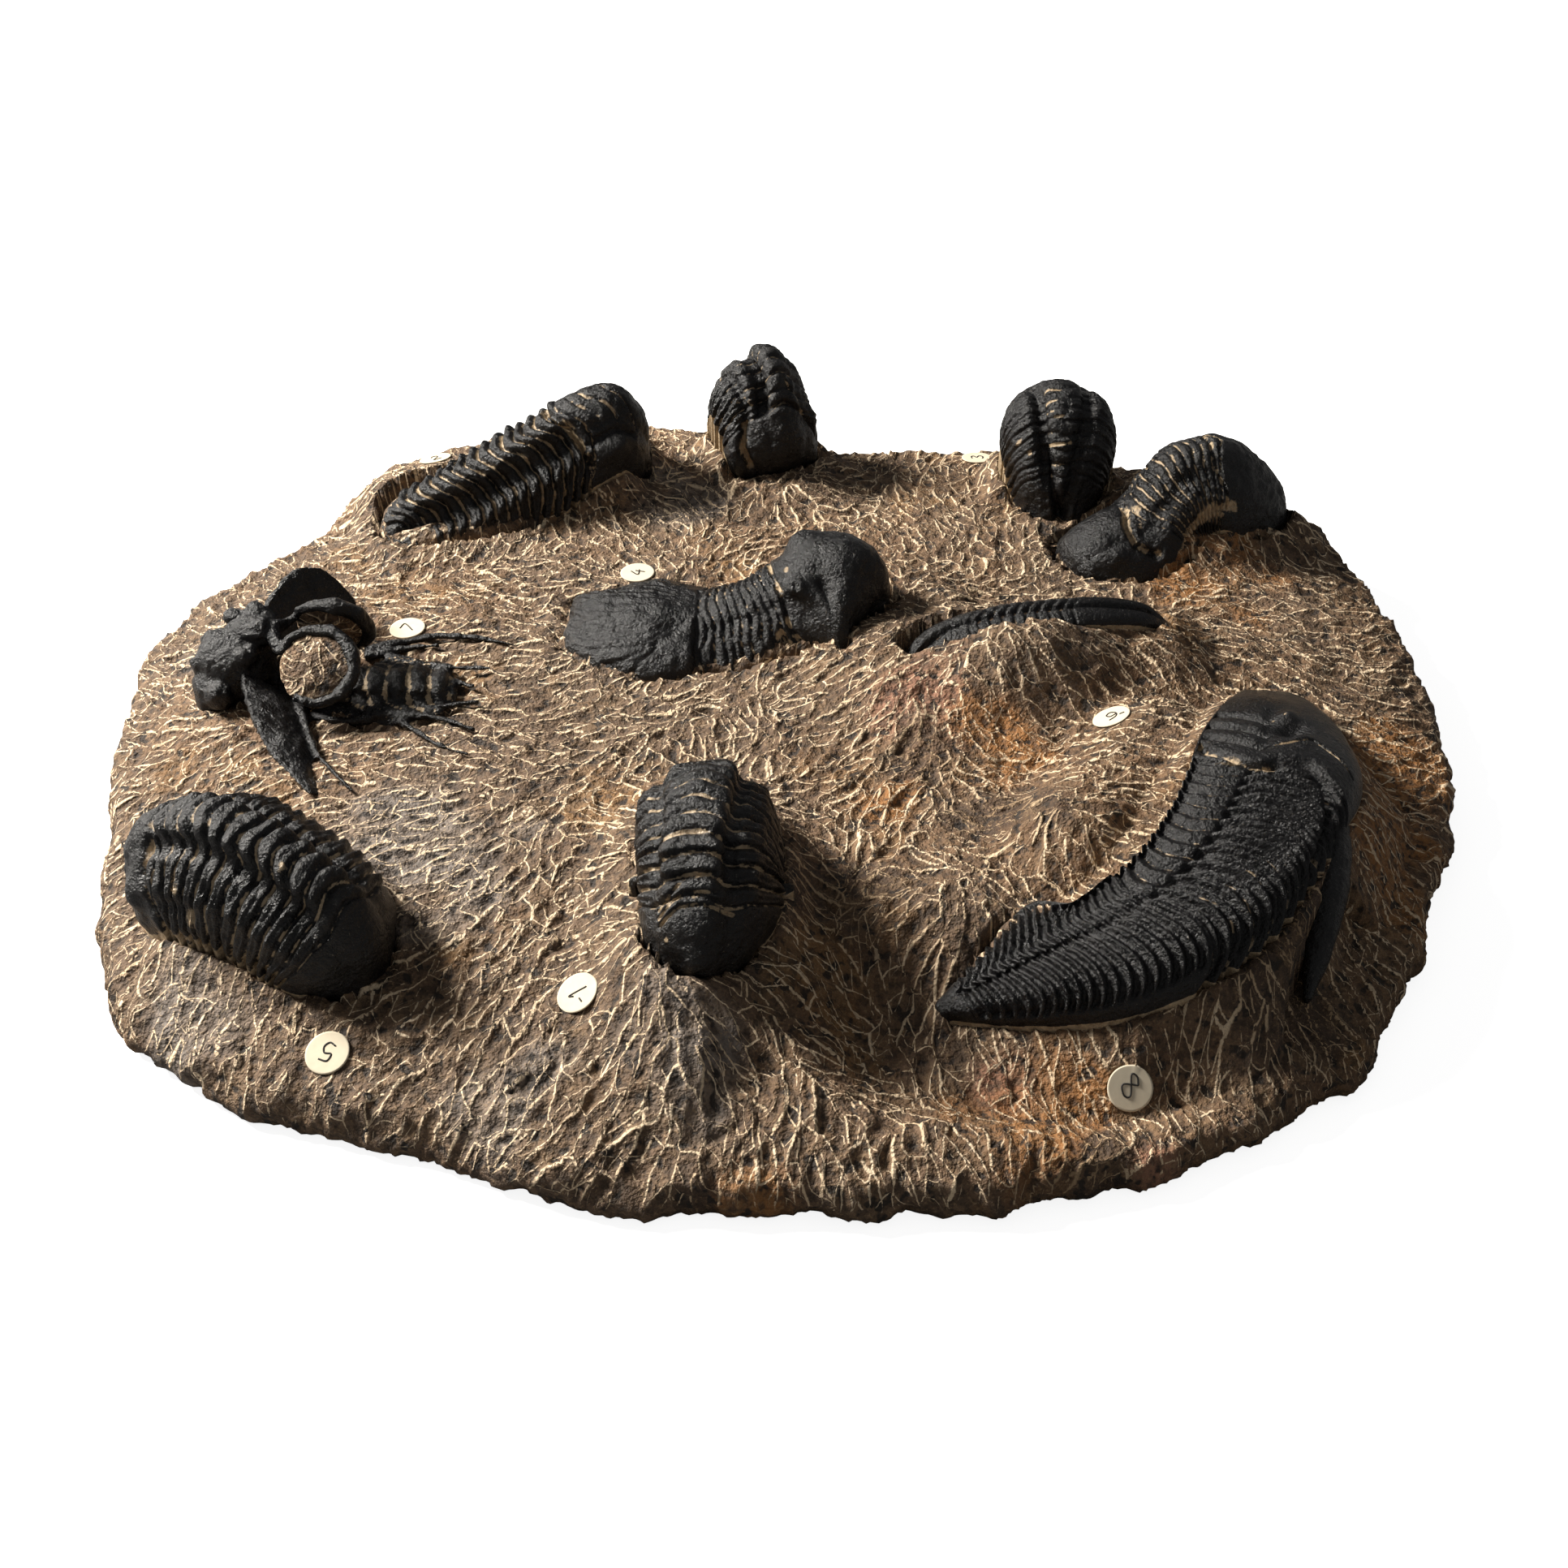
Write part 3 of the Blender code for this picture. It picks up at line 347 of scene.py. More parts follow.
HORNED = dict(
    PLAIN, place=(-114, -2), heading=-1, base=11, axis=0.40, lobe=1.2, sweep=(0, 0.05),
    head=0.46, tail=0.96, segments=5, rib=1.1, bow=-0.2, lead=-15, straight=0.35, cream=1.4,
    stations=((0, 2, 20, 5, 4, 0), (4, 2, 22, 6.5, 5, 0), (20, 0, 23, 9, 6, 0), (28, 0, 24.5, 12, 6, 0),
              (36, 0, 24, 12, 5, 0), (42, 0, 22, 9.5, 3, 0), (45, 0, 20, 5, 2, 0)))
CHEEK_SPINE = ((103, -38, 24, 4.4), (104.5, -51, 23.5, 4.2), (103, -62, 22, 4.0), (99.8, -73, 19.5, 3.5),
               (96.8, -81.5, 16, 2.4), (94.5, -88, 13, 0.7))  # middle and radius along the large one's spine
STEEPEST = math.radians(75)  # lean of the rings, at most


def through(points, shares):
    """Values at shares of the length of a smooth curve through points, whose first columns are places"""
    points = np.array(points, float)
    padded = np.vstack([2 * points[0] - points[1], points, 2 * points[-1] - points[-2]])
    t = np.linspace(0, 1, 24, endpoint=False)[:, None]
    curve = [on_curve(*four, t) for four in zip(padded, padded[1:], padded[2:], padded[3:])]
    curve = np.vstack(curve + [points[-1:]])
    run = np.concatenate([[0], np.cumsum(np.linalg.norm(np.diff(curve[:, :3], axis=0), axis=1))])
    where = np.asarray(shares) * run[-1]
    return np.stack([np.interp(where, run, curve[:, k]) for k in range(curve.shape[1])], 1)


def steady(values, window=21):
    """Running mean of each column"""
    kernel = np.ones(window) / window
    padded = np.pad(values, ((window // 2, window // 2), (0, 0)), mode="edge")
    return np.stack([np.convolve(padded[:, k], kernel, mode="valid") for k in range(values.shape[1])], 1)


def frames(s, fine):
    """Stations, middle line, and directions up and to the right, at fine shares of a body's length"""
    line = through(s["stations"], fine)
    slope_z = np.gradient(line[:, 2])
    if s["heading"] is None:
        flat = np.stack([np.gradient(line[:, 0]), np.gradient(line[:, 1])], 1)
        forward = unit(steady(unit(flat)))
        slope = np.arctan2(slope_z, np.linalg.norm(flat, axis=1))
        middle = line[:, :3]
    else:
        way = math.radians(s["heading"])
        forward = np.tile((math.cos(way), math.sin(way)), (len(fine), 1))
        slope = np.unwrap(np.arctan2(slope_z, np.gradient(line[:, 0])))
        middle = line[:, :3].copy()
        middle[:, 0] = s["place"][0] + line[:, 0] * math.cos(way) - line[:, 1] * math.sin(way)
        middle[:, 1] = s["place"][1] + line[:, 0] * math.sin(way) + line[:, 1] * math.cos(way)
    lean = np.clip(steady(s["lean"] * slope[:, None], 15), -STEEPEST, STEEPEST)
    right = np.stack([forward[:, 1], -forward[:, 0], 0 * slope], 1)
    ahead = np.stack([forward[:, 0], forward[:, 1], 0 * slope], 1)
    up = np.cos(lean) * np.array((0, 0, 1.0)) - np.sin(lean) * ahead
    roll = np.radians(line[:, 5:6])
    rolled_up = up * np.cos(roll) + right * np.sin(roll)
    rolled_right = right * np.cos(roll) - up * np.sin(roll)
    return line, middle, rolled_up, rolled_right


def carapace(s, rows, columns):
    """Upper surface of a trilobite before its ribs, at shares of its length and of its half width"""
    fine = np.linspace(0, 1, 241)
    line, middle, up, right = frames(s, fine)
    across, along = np.meshgrid(columns, rows)
    placed = across
    if s["hidden"]:
        share, widens, full = s["hidden"]
        share = share + (1 - share) * smooth((along - widens) / (full - widens))
        narrow = (share - s["axis"]) / (1 - s["axis"])
        placed = np.where(across > s["axis"], s["axis"] + (across - s["axis"]) * narrow, across)
    side = np.clip((np.abs(placed) - s["axis"]) / (1 - s["axis"]), 0, 1)
    window = smooth(np.minimum(along, 1 - along) / 0.12)
    swept = np.clip(along + (s["sweep"][0] * side + s["sweep"][1] * side**2) * window, 0, 1)
    middle, up, right = (np.stack([np.interp(swept, fine, v[:, k]) for k in range(3)], -1)
                         for v in (middle, up, right))
    around = placed * math.pi / 2
    out = np.interp(swept, fine, line[:, 3]) * np.sin(around)
    fall = np.interp(swept, fine, line[:, 4]) * (1 - np.cos(around))**s["flat"]
    lobe = s["lobe"] * np.sqrt(np.clip(1 - (placed / s["axis"])**2, 0, 1))
    lobe = lobe * smooth(np.minimum(swept / 0.1, (1.02 - swept) / 0.12))
    surface = middle + out[..., None] * right + (lobe - fall)[..., None] * up
    return surface, along, across


def hex_colour(code):
    """sRGB hex as linear red, green, blue and alpha"""
    parts = [int(code[i:i + 2], 16) / 255 for i in (1, 3, 5)]
    return (*[p / 12.92 if p <= 0.04045 else ((p + 0.055) / 1.055)**2.4 for p in parts], 1.0)


def add(tree, kind, settings, links):
    """Add a shader node of a kind, with its settings and with its inputs as values or as links"""
    new = tree.nodes.new("ShaderNode" + kind)
    for key, value in settings.items():
        setattr(new, key, value)
    for key, value in links.items():
        socket = new.inputs[key] if isinstance(key, int) else [
            i for i in new.inputs if i.enabled and i.name == key][0]
        if isinstance(value, bpy.types.Node):
            value = [o for o in value.outputs if o.enabled][0]
        if isinstance(value, bpy.types.NodeSocket):
            tree.links.new(value, socket)
        else:
            socket.default_value = value
    return new


def start_material(name, roughness):
    """A new material, its node tree and its shader"""
    material = bpy.data.materials.new(name)
    material.use_nodes = True
    tree = material.node_tree
    shader = tree.nodes["Principled BSDF"]
    shader.inputs["Roughness"].default_value = roughness
    return material, tree, shader


def raise_surface(tree, shader, depth, height, layers):
    """Bump a surface by a pattern, and by more patterns with their weights"""
    for pattern, weight in layers:
        height = add(tree, "Math", {"operation": "MULTIPLY_ADD"}, {0: pattern, 1: weight, 2: height})
    bump = add(tree, "Bump", {}, {"Strength": 1.0, "Distance": depth * MM, "Height": height})
    tree.links.new(bump.outputs[0], shader.inputs["Normal"])


def chiselled_limestone():
    """Brown limestone worked with a stylus: mottled brown and ochre, with crushed cream crests, pits and
    painted shade
    """
    material, tree, shader = start_material("chiselled limestone", 0.78)
    place = tree.nodes.new("ShaderNodeTexCoord").outputs["Object"]
    sizes = {"broad": (45, 2), "patchy": (26, 3), "medium": (9, 4), "fine": (1.6, 4), "pitted": (2.6, 2),
             "broken": (4.5, 3), "grainy": (0.6, 3)}  # millimetres and detail of each pattern
    noises = {}
    for key, (size, detail) in sizes.items():
        noises[key] = add(tree, "TexNoise", {},
                          {"Vector": place, "Scale": 1 / (size * MM), "Detail": detail}).outputs[0]

    # Each layer of colour: pattern, range over which it comes in, how much of it, and its colour
    stains_and_shade = {key: add(tree, "Attribute", {"attribute_name": key}, {}).outputs["Fac"]
              for key in (*STAINS_AND_SHADE, "hollow")}
    tint = hex_colour("#624d3a")
    for key, low, high, most, colour in (
            ("broad", 0.44, 0.66, 0.8, "#6f5237"), ("patchy", 0.58, 0.70, 0.55, "#87602f"),
            ("grey", 0.0, 1.0, 0.75, "#77706a"), ("pink", 0.0, 1.0, 0.6, "#a5745c"),
            # Dark brown painted shade on the ground beside the fossils
            ("umber", 0.0, 0.8, 0.8, "#38271b"), ("ochre", 0.0, 1.0, 0.75, "#97632c"),
            ("medium", 0.40, 0.70, 0.4, "#866b4d"),
            # fine and pitted also set the bump, and their dark colour sits in its lowest places: painted
            # shade in the pits, together with dark specks of the stone
            ("grainy", 0.54, 0.68, 0.4, "#a88b66"), ("fine", 0.55, 0.36, 0.7, "#36281b"),
            # The last layer is painted shade, darker away from the crests where the scallops lie low
            ("pitted", 0.43, 0.34, 0.9, "#1a120b"), ("hollow", 0.6, 1.1, 0.6, "#2b1e13")):
        share = add(tree, "MapRange", {"interpolation_type": "SMOOTHSTEP"},
                    {"Value": {**noises, **stains_and_shade}[key], "From Min": low, "From Max": high, "To Max": most})
        tint = add(tree, "Mix", {"data_type": "RGBA"}, {"Factor": share, "A": tint, "B": hex_colour(colour)})

    # Crests of the strokes, from the distance to each and its strength, broken up by noise
    breaks = add(tree, "MapRange", {}, {"Value": noises["broken"], "From Min": 0.30, "From Max": 0.46})
    ragged = add(tree, "Math", {"operation": "MULTIPLY_ADD"}, {0: noises["grainy"], 1: 0.4, 2: -0.2})
    crests, banks = 0.0, 0.0
    for layer, width, strength in (("coarse_stroke", 0.40, 0.93), ("fine_stroke", 0.30, 0.78)):
        mark = add(tree, "Attribute", {"attribute_name": layer}, {}).outputs["Vector"]
        mark = add(tree, "SeparateXYZ", {}, {0: mark})
        away = add(tree, "Math", {"operation": "ABSOLUTE"}, {0: mark.outputs[0]})
        away = add(tree, "Math", {"operation": "ADD"}, {0: away, 1: ragged})
        share = add(tree, "Math", {"operation": "MULTIPLY"}, {0: mark.outputs[1], 1: breaks})
        reach = add(tree, "Math", {"operation": "MULTIPLY_ADD"}, {0: share, 1: width, 2: 0.02})
        line = add(tree, "Math", {"operation": "DIVIDE"}, {0: away, 1: reach})
        line = add(tree, "MapRange", {},
                   {"Value": line, "From Min": 1.1, "From Max": 0.5, "To Max": strength})
        seen = add(tree, "MapRange", {}, {"Value": share, "From Min": 0.05, "From Max": 0.25})
        line = add(tree, "Math", {"operation": "MULTIPLY"}, {0: line, 1: seen})
        crests = add(tree, "Math", {"operation": "MAXIMUM"}, {0: crests, 1: line})
        bank = add(tree, "MapRange", {"interpolation_type": "SMOOTHSTEP"},
                   {"Value": away, "From Min": 1.1, "From Max": 0.0, "To Max": share})
        banks = add(tree, "Math", {"operation": "MAXIMUM"}, {0: banks, 1: bank})
    cream = add(tree, "Mix", {"data_type": "RGBA"},
                {"Factor": noises["medium"], "A": hex_colour("#cfae84"), "B": hex_colour("#f2dfc2")})
    # The cream crests are dulled where that painted shade lies
    shaded_crests = add(tree, "MapRange", {}, {"Value": stains_and_shade["umber"], "To Max": 0.75})
    cream = add(tree, "Mix", {"data_type": "RGBA"},
                {"Factor": shaded_crests, "A": cream, "B": hex_colour("#86663f")})
    tint = add(tree, "Mix", {"data_type": "RGBA"}, {"Factor": crests, "A": tint, "B": cream})
    tree.links.new(tint.outputs[2], shader.inputs["Base Color"])
    raise_surface(tree, shader, 0.9, noises["fine"],
                  ((banks, 0.5), (noises["pitted"], 1.5), (noises["grainy"], 0.8)))
    return material


def slab_points():
    """Points of the slab, each with its place in plan unrolled over the rim, and the faces between them"""
    a, b = np.meshgrid(np.linspace(-1, 1, GRID + 1), np.linspace(-1, 1, GRID + 1), indexing="ij")
    reach = np.maximum(abs(a), abs(b))
    wide = abs(a) >= abs(b)
    safe_a, safe_b = np.where(a == 0, 1, a), np.where(b == 0, 1, b)
    angle = np.where(wide, math.pi / 4 * b / safe_a + np.where(a < 0, math.pi, 0),
                     math.pi / 2 - math.pi / 4 * a / safe_b + np.where(b < 0, math.pi, 0))
    angle = np.where(reach == 0, 0, angle)
    index = np.arange((GRID + 1)**2).reshape(GRID + 1, GRID + 1)
    faces = [np.stack([index[:-1, :-1], index[1:, :-1], index[1:, 1:], index[:-1, 1:]], -1).reshape(-1, 4)]
    edge = np.concatenate([index[:-1, 0], index[-1, :-1], index[:0:-1, -1], index[0, :0:-1]])
    radius = reach * (outline(angle) - RIM_BULGE)
    x, y = radius * np.cos(angle), radius * np.sin(angle)
    rough = smooth((reach - 0.9) / 0.1)
    points = [np.stack([x, y, ground(x, y)], -1).reshape(-1, 3)]
    plan = [points[0][:, :2]]
    rough = [rough.ravel()]
    turn = angle.reshape(-1)[edge]
    top = ground(*(points[0][edge, :2].T))
    last, start = edge, points[0][edge]

    # Rings below the upper edge: how far each is set in, and its share of the height of that edge
    below = [(0.0, 1 - (1 - FOOT_SHARE) * k / RIM_RINGS) for k in range(1, RIM_RINGS + 1)]
    below += [(UNDERCUT * (k / FOOT_RINGS)**1.2, FOOT_SHARE * (1 - k / FOOT_RINGS))
              for k in range(1, FOOT_RINGS + 1)]
    run = np.zeros(len(edge))
    for number, (inset, share) in enumerate(below):
        bulge = RIM_BULGE * math.sin(math.pi * min((number + 1) / RIM_RINGS, 1) * 0.75)
        r = outline(turn) - RIM_BULGE + bulge - inset
        ring = np.stack([r * np.cos(turn), r * np.sin(turn), top * share], 1)
        run = run + np.linalg.norm(ring - start, axis=1)
        start = ring
        points.append(ring)
        plan.append(points[0][edge, :2] + run[:, None] * np.stack([np.cos(turn), np.sin(turn)], 1))
        fade = 1.0 if inset == 0 else 1 - (number - RIM_RINGS + 1) / FOOT_RINGS
        rough.append(np.full(len(edge), fade))
        here = np.arange(len(edge)) + sum(len(p) for p in points[:-1])
        faces.append(np.stack([last, here, np.roll(here, -1), np.roll(last, -1)], 1))
        last = here
    return np.concatenate(points), np.concatenate(plan), np.concatenate(rough), np.concatenate(faces), last


def link_object(name, data):
    """Put new data into the scene as an object"""
    linked = bpy.data.objects.new(name, data)
    bpy.context.scene.collection.objects.link(linked)
    return linked


def new_piece(name, mesh, materials, nodes):
    """Put a finished mesh into the scene as a piece that rides with the slab and stands for its solids"""
    piece = link_object(name, mesh)
    for material in materials:
        mesh.materials.append(material)
    mesh.shade_smooth()
    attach(piece, "root")
    if nodes:
        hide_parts(*nodes)
    return piece


def points_of(mesh):
    """Places of a mesh's points in millimetres"""
    values = np.zeros(3 * len(mesh.vertices))
    mesh.vertices.foreach_get("co", values)
    return values.reshape(-1, 3) / MM


def mark_strokes(mesh, plan, layers):
    """Store the distance to the nearest crest and its strength, less near the ground, on a mesh's corners"""
    corners, sides = np.zeros(len(mesh.loops), np.int64), np.zeros(len(mesh.polygons), np.int64)
    mesh.loops.foreach_get("vertex_index", corners)
    mesh.polygons.foreach_get("loop_total", sides)
    face = np.repeat(np.arange(len(sides)), sides)
    middles = np.stack([np.bincount(face, plan[corners, k]) / sides for k in (0, 1)], -1)
    height = np.bincount(face, points_of(mesh)[corners, 2]) / sides
    for name, layer in layers:
        pair = layer.nearest(middles)
        strength = layer.strength(pair) * smooth((height - 2.5) / 3)
        away = np.clip(layer.edge(plan[corners], pair[face]), -5, 5)
        marks = mesh.attributes.new(name, "FLOAT_VECTOR", "CORNER")
        marks.data.foreach_set("vector", np.stack([away, strength[face], 0 * away], 1).ravel())


def search_tree(points):
    """Tree in which the nearest of some points is found"""
    tree = KDTree(len(points))
    for i, point in enumerate(points):
        tree.insert(point, i)
    tree.balance()
    return tree


coarse = Scallops(spacing=4.8, length=1.7, width=0.62, seed=11, rarity=0.75)
fine_strokes = Scallops(spacing=3.3, length=1.6, width=0.66, seed=41, rarity=2.2)
points, plan, rough, faces, foot = slab_points()

# The strokes wander a little, and the scallops lie between their crests, each at its own depth and tilt
wander = np.stack([noise(plan, 6, k) + 0.5 * noise(plan, 2.5, k + 2) for k in (1, 2)], -1)
bent = plan + 0.9 * wander
pair = coarse.nearest(bent)
crest = np.abs(coarse.edge(bent, pair))
first = pair[:, 0]
from_middle, turn = bent - first[:, :2], 40 * first[:, 3]
tilt = from_middle[:, 0] * np.cos(turn) + from_middle[:, 1] * np.sin(turn)
relief = (0.25 + 0.55 * coarse.strength(pair)) * np.exp(-(crest / 0.9)**2) + 0.7 * (first[:, 3] - 0.5)
relief += np.clip(0.2 * tilt, -0.5, 0.5) - 0.3 * smooth(crest / 1.5)
relief += 0.8 * noise(plan, 14, 6) + 0.5 * noise(plan, 6, 7) + 0.28 * noise(plan, 3.2, 8)
# The value below is painted shade for the stone's colour: darker away from the crests, where the scallops
# lie low, with small spots of noise
hollow = 0.5 + 0.35 * noise(plan, 2.6, 8) - 0.5 * np.exp(-(crest / 0.8)**2) + 0.3 * smooth(crest / 1.5)
hollow += 0.12 * noise(plan, 1.1, 14)

# Round the discs the stone is calmer, and its rim is broken in lumps
RELIEF, BANK_RELIEF = 0.7, 0.5  # share of the relief on the open surface, and on banks and flanks
RIM_INSET = 0.8  # keeps the lumps of the rim near the outline
CALM, CALM_REACH, CALM_FADE = 0.85, 7.0, 3.0  # share of the relief taken off, and over what distance
calm = np.ones(len(points))
for x, y in DISCS:
    calm *= 1 - CALM * smooth((CALM_REACH - np.hypot(plan[:, 0] - x, plan[:, 1] - y)) / CALM_FADE)
lumps = rough * (1.5 * noise(points, 12, 9) + 1.3 * noise(points, 5, 10))
outward = unit(points * (1, 1, 0), 1e-9)
flank = np.zeros(len(points))
flank[(GRID + 1)**2:] = 1
upper = np.flatnonzero(flank == 0)

# Stone is banked up to the edges of the bodies, on each flank no higher over the ground than its own limit,
# and it stays under their backs
BANK_REACH, BANK_BELOW = 14.0, 0.5  # distance from an edge, and how far below it the bank ends
UNDER_REACH, UNDER_DEPTH = 0.9, 0.7  # distance in plan from a back, and depth of the stone under it
USUAL_BANK = 5.0  # rise of a bank at the ends of a body and along the cheek spine
SPINE_STEPS, ROWS, COLUMNS = 60, 140, 49  # points along the spine, and along and across a body
edge_points, body_points = [through(CHEEK_SPINE, np.linspace(0, 1, SPINE_STEPS))[:, :3]], []
banked = [np.full(SPINE_STEPS, USUAL_BANK)]
for s in (*TRILOBITES.values(), HORNED):
    surface = carapace(s, np.linspace(0, 1, ROWS), np.linspace(-1, 1, COLUMNS))[0]
    body_points.append(surface.reshape(-1, 3))
    edge_points += [surface[:, 0], surface[:, -1], surface[0], surface[-1]]
    banked += [np.full(ROWS, rise) for rise in s["banked"]] + [np.full(2 * COLUMNS, USUAL_BANK)]
edge_points, body_points, banked = (np.concatenate(rows) for rows in (edge_points, body_points, banked))
edges, bodies = (search_tree(sample * (1, 1, 0)) for sample in (edge_points, body_points))
top = points[upper, 2] + RELIEF * (calm * relief)[upper]
for k, i in enumerate(upper):
    x, y, z = points[i]
    _, near, away = edges.find((x, y, 0))
    if away < BANK_REACH:
        highest = min(edge_points[near, 2] - BANK_BELOW, z + banked[near])
        top[k] = max(top[k], highest - away + BANK_RELIEF * relief[i])
    _, near, away = bodies.find((x, y, 0))
    if away < UNDER_REACH:
        top[k] = min(top[k], body_points[near, 2] - UNDER_DEPTH)
points[upper, 2] = top
points += (lumps + BANK_RELIEF * relief * flank * rough - RIM_INSET * rough)[:, None] * outward
points[:, 2] = np.maximum(points[:, 2], 0)
points[foot, 2] = 0

centre = len(points)
points = np.vstack([points, [[0, 0, 0]]])
fan = np.stack([foot, np.full(len(foot), centre), np.roll(foot, -1)], 1)
slab_mesh = bpy.data.meshes.new("matrix_stone")
slab_mesh.from_pydata((points * MM).tolist(), [], faces.tolist() + fan.tolist())

layers = (("coarse_stroke", coarse), ("fine_stroke", fine_strokes))
mark_strokes(slab_mesh, np.vstack([bent, [[0, 0]]]), layers)
shades = {"hollow": np.append(hollow, 0)}
for k, (name, spots) in enumerate(STAINS_AND_SHADE.items()):
    blur = 0.5 * noise(points[:, :2], 9, 16 + k)
    shades[name] = sum(smooth(1.2 - np.hypot(points[:, 0] - x, points[:, 1] - y) / radius + blur)
                       for x, y, radius in spots)
for name, values in shades.items():
    marks = slab_mesh.attributes.new(name, "FLOAT", "POINT")
    marks.data.foreach_set("value", np.clip(values, 0, 1))
limestone = chiselled_limestone()
slab = new_piece("matrix_stone", slab_mesh, [limestone], ["matrix_slab"])

# Trilobites
# Calcite replaced their shells and is nearly black. Each is a half tube of overlapping segments between a
# domed head and a ribbed tail, freed from the stone on all the sides that the photo shows.
END_RINGS, END_BULGE = 8, 1.5  # rings that round off each end of a shell, and how far they stand out
ARC = 1.35  # length of a flank over the half width of its body
INSET, EDGE_DROP = 0.35, 0.5  # how far a shell lies within its body, and depth of its edge
USUAL_MESH = (284, 102)  # rows along a shell and columns across it
MESHES = {"large_dalmanitid": (520, 150), "half_buried_trilobite": (180, 80)}


def dent(x, middle, width):
    """Bell-shaped curve of x, 1 at its middle"""
    return np.exp(-((x - middle) / width)**2)


def segments(s, length, t, c, wander):
    """Depth of the furrows between and on the segments, and how much stone is left in them"""
    c = abs(c)
    side = smooth((c - s["axis"]) / 0.12)
    arch = np.where(c < s["axis"], -np.cos(math.pi * c / s["axis"]), 1 - smooth((c - s["axis"]) / 0.25))
    middle, pinch = s["fan"]
    t = middle + (t - middle) * (1 + pinch * smooth(c))
    t = t + (s["bow"] * arch + s["lead"] * smooth((c - s["straight"]) / 0.6) + wander) / length
    thorax = (t - s["head"]) / (s["tail"] - s["head"]) * s["segments"]
    inside = smooth(np.minimum(thorax, s["segments"] - thorax) / 0.2 + 0.5)
    phase = thorax - np.floor(thorax)
    between = np.abs(2 * phase - 1)
    if s["sharp"]:
        furrow = 1 - np.maximum(dent(phase, 0.34, 0.17), 0.75 * side * dent(phase, 0.82, 0.12))
        furrow = np.where(side > 0, furrow, 0.95 - 0.6 * dent(phase, 0.5, 0.3))
    else:
        furrow = 0.8 * smooth((between - 0.4) / 0.6) + 0.2 * phase
        furrow = furrow + s["pleural"] * side * dent(phase, 0.42, 0.13) * smooth((1.0 - c) / 0.25)
    place, rise = s["knobs"]
    knobs = dent(c, place, 0.07) + 0.6 * dent(c, 0.6 * s["axis"], 0.06)
    furrow = furrow - rise * dent(phase, 0.5, 0.3) * knobs
    free = s["tips"] * smooth((c - 0.78) / 0.2)
    depth = inside * (s["rib"] * furrow + free * smooth((between - 0.3) / 0.5))
    packed = s["cream"] * smooth((between - 1 + 0.15 * s["cream"]) / 0.13)
    left = inside * (packed + free * smooth((between - 0.5) / 0.3))
    if s["tail_ribs"]:
        tail = (t - s["tail"]) / (0.96 - s["tail"]) * s["tail_ribs"]
        inside = smooth(np.minimum(tail, s["tail_ribs"] * 1.05 - tail) / 0.3) * smooth((0.88 - c) / 0.1)
        phase = tail - np.floor(tail)
        depth += 0.65 * s["rib"] * inside * (1 - dent(phase, 0.5, 0.26))
        left += 0.3 * inside * s["cream"] * smooth((np.abs(2 * phase - 1) - 0.8) / 0.2)
    return depth, left


def dressed(s, surface, along, across):
    """Surface with its segments, furrows, lumps and fine pitting, and the share of stone left on it"""
    normal = unit(np.cross(np.gradient(surface, axis=0), np.gradient(surface, axis=1)), 1e-9)
    if normal[len(surface) // 2, surface.shape[1] // 2, 2] < 0:
        normal = -normal
    stations = np.array(s["stations"], float)
    whole = np.linalg.norm(np.diff(stations[:, :3], axis=0), axis=1).sum()
    length, width = whole * along, ARC * stations[:, 3].max() * across
    worn = s["worn"]
    depth, left = segments(s, whole, along, across, 0.7 * worn * noise(surface, 5, 24))
    depth = depth * (1 + 0.3 * worn * noise(surface, 4, 25))
    valley, reach, start, end = s["gutter"]
    gutter = dent(abs(across), s["axis"], reach) * smooth(np.minimum(along / 0.06, (0.98 - along) / 0.1))
    depth += valley * gutter * smooth((along - start) / 0.05) * smooth((end - along) / 0.05)
    for x, y, rx, ry, rise in s["lumps"]:
        depth -= rise * np.exp(-((length - x) / rx)**2 - ((width - y) / ry)**2)
    for points, wide, deep, stone in s["grooves"]:
        away = np.full(length.shape, 99.0)
        for here, following in zip(points, points[1:]):
            away = np.minimum(away, from_line(length, width, *here, *following))
        depth += deep * dent(away, 0, wide)
        left += stone * dent(away, 0, wide)
    for x, y, radius in s["patches"]:
        left += dent(np.hypot(length - x, width - y), 0, radius)
    worn = worn * (0.7 + 0.3 * smooth((along - s["head"]) / 0.04))
    for seed, (size, deep) in enumerate(((8, 0.45), (3.5, 0.36), (1.7, 0.24), (0.9, 0.12)), 20):
        depth += deep * worn * noise(surface, size, seed)
    depth += INSET
    return surface - depth[..., None] * normal, np.clip(left, 0, 2)


def domed_ends(rings):
    """Rings of points with rounded ends, which shrink towards the foot of the end ring and bulge outward"""
    start, end = [], []
    for k in range(1, END_RINGS + 1):
        turn = math.pi / 2 * k / END_RINGS
        for rows, ring, inner in ((start, rings[0], rings[1]), (end, rings[-1], rings[-2])):
            foot = 0.5 * (ring[0] + ring[-1])
            outward = foot - 0.5 * (inner[0] + inner[-1])
            outward[2] = 0
            outward /= np.linalg.norm(outward) + 1e-9
            rows.append(foot + (ring - foot) * math.cos(turn) + END_BULGE * math.sin(turn) * outward)
    return np.concatenate([np.stack(start[::-1]), rings, np.stack(end)])


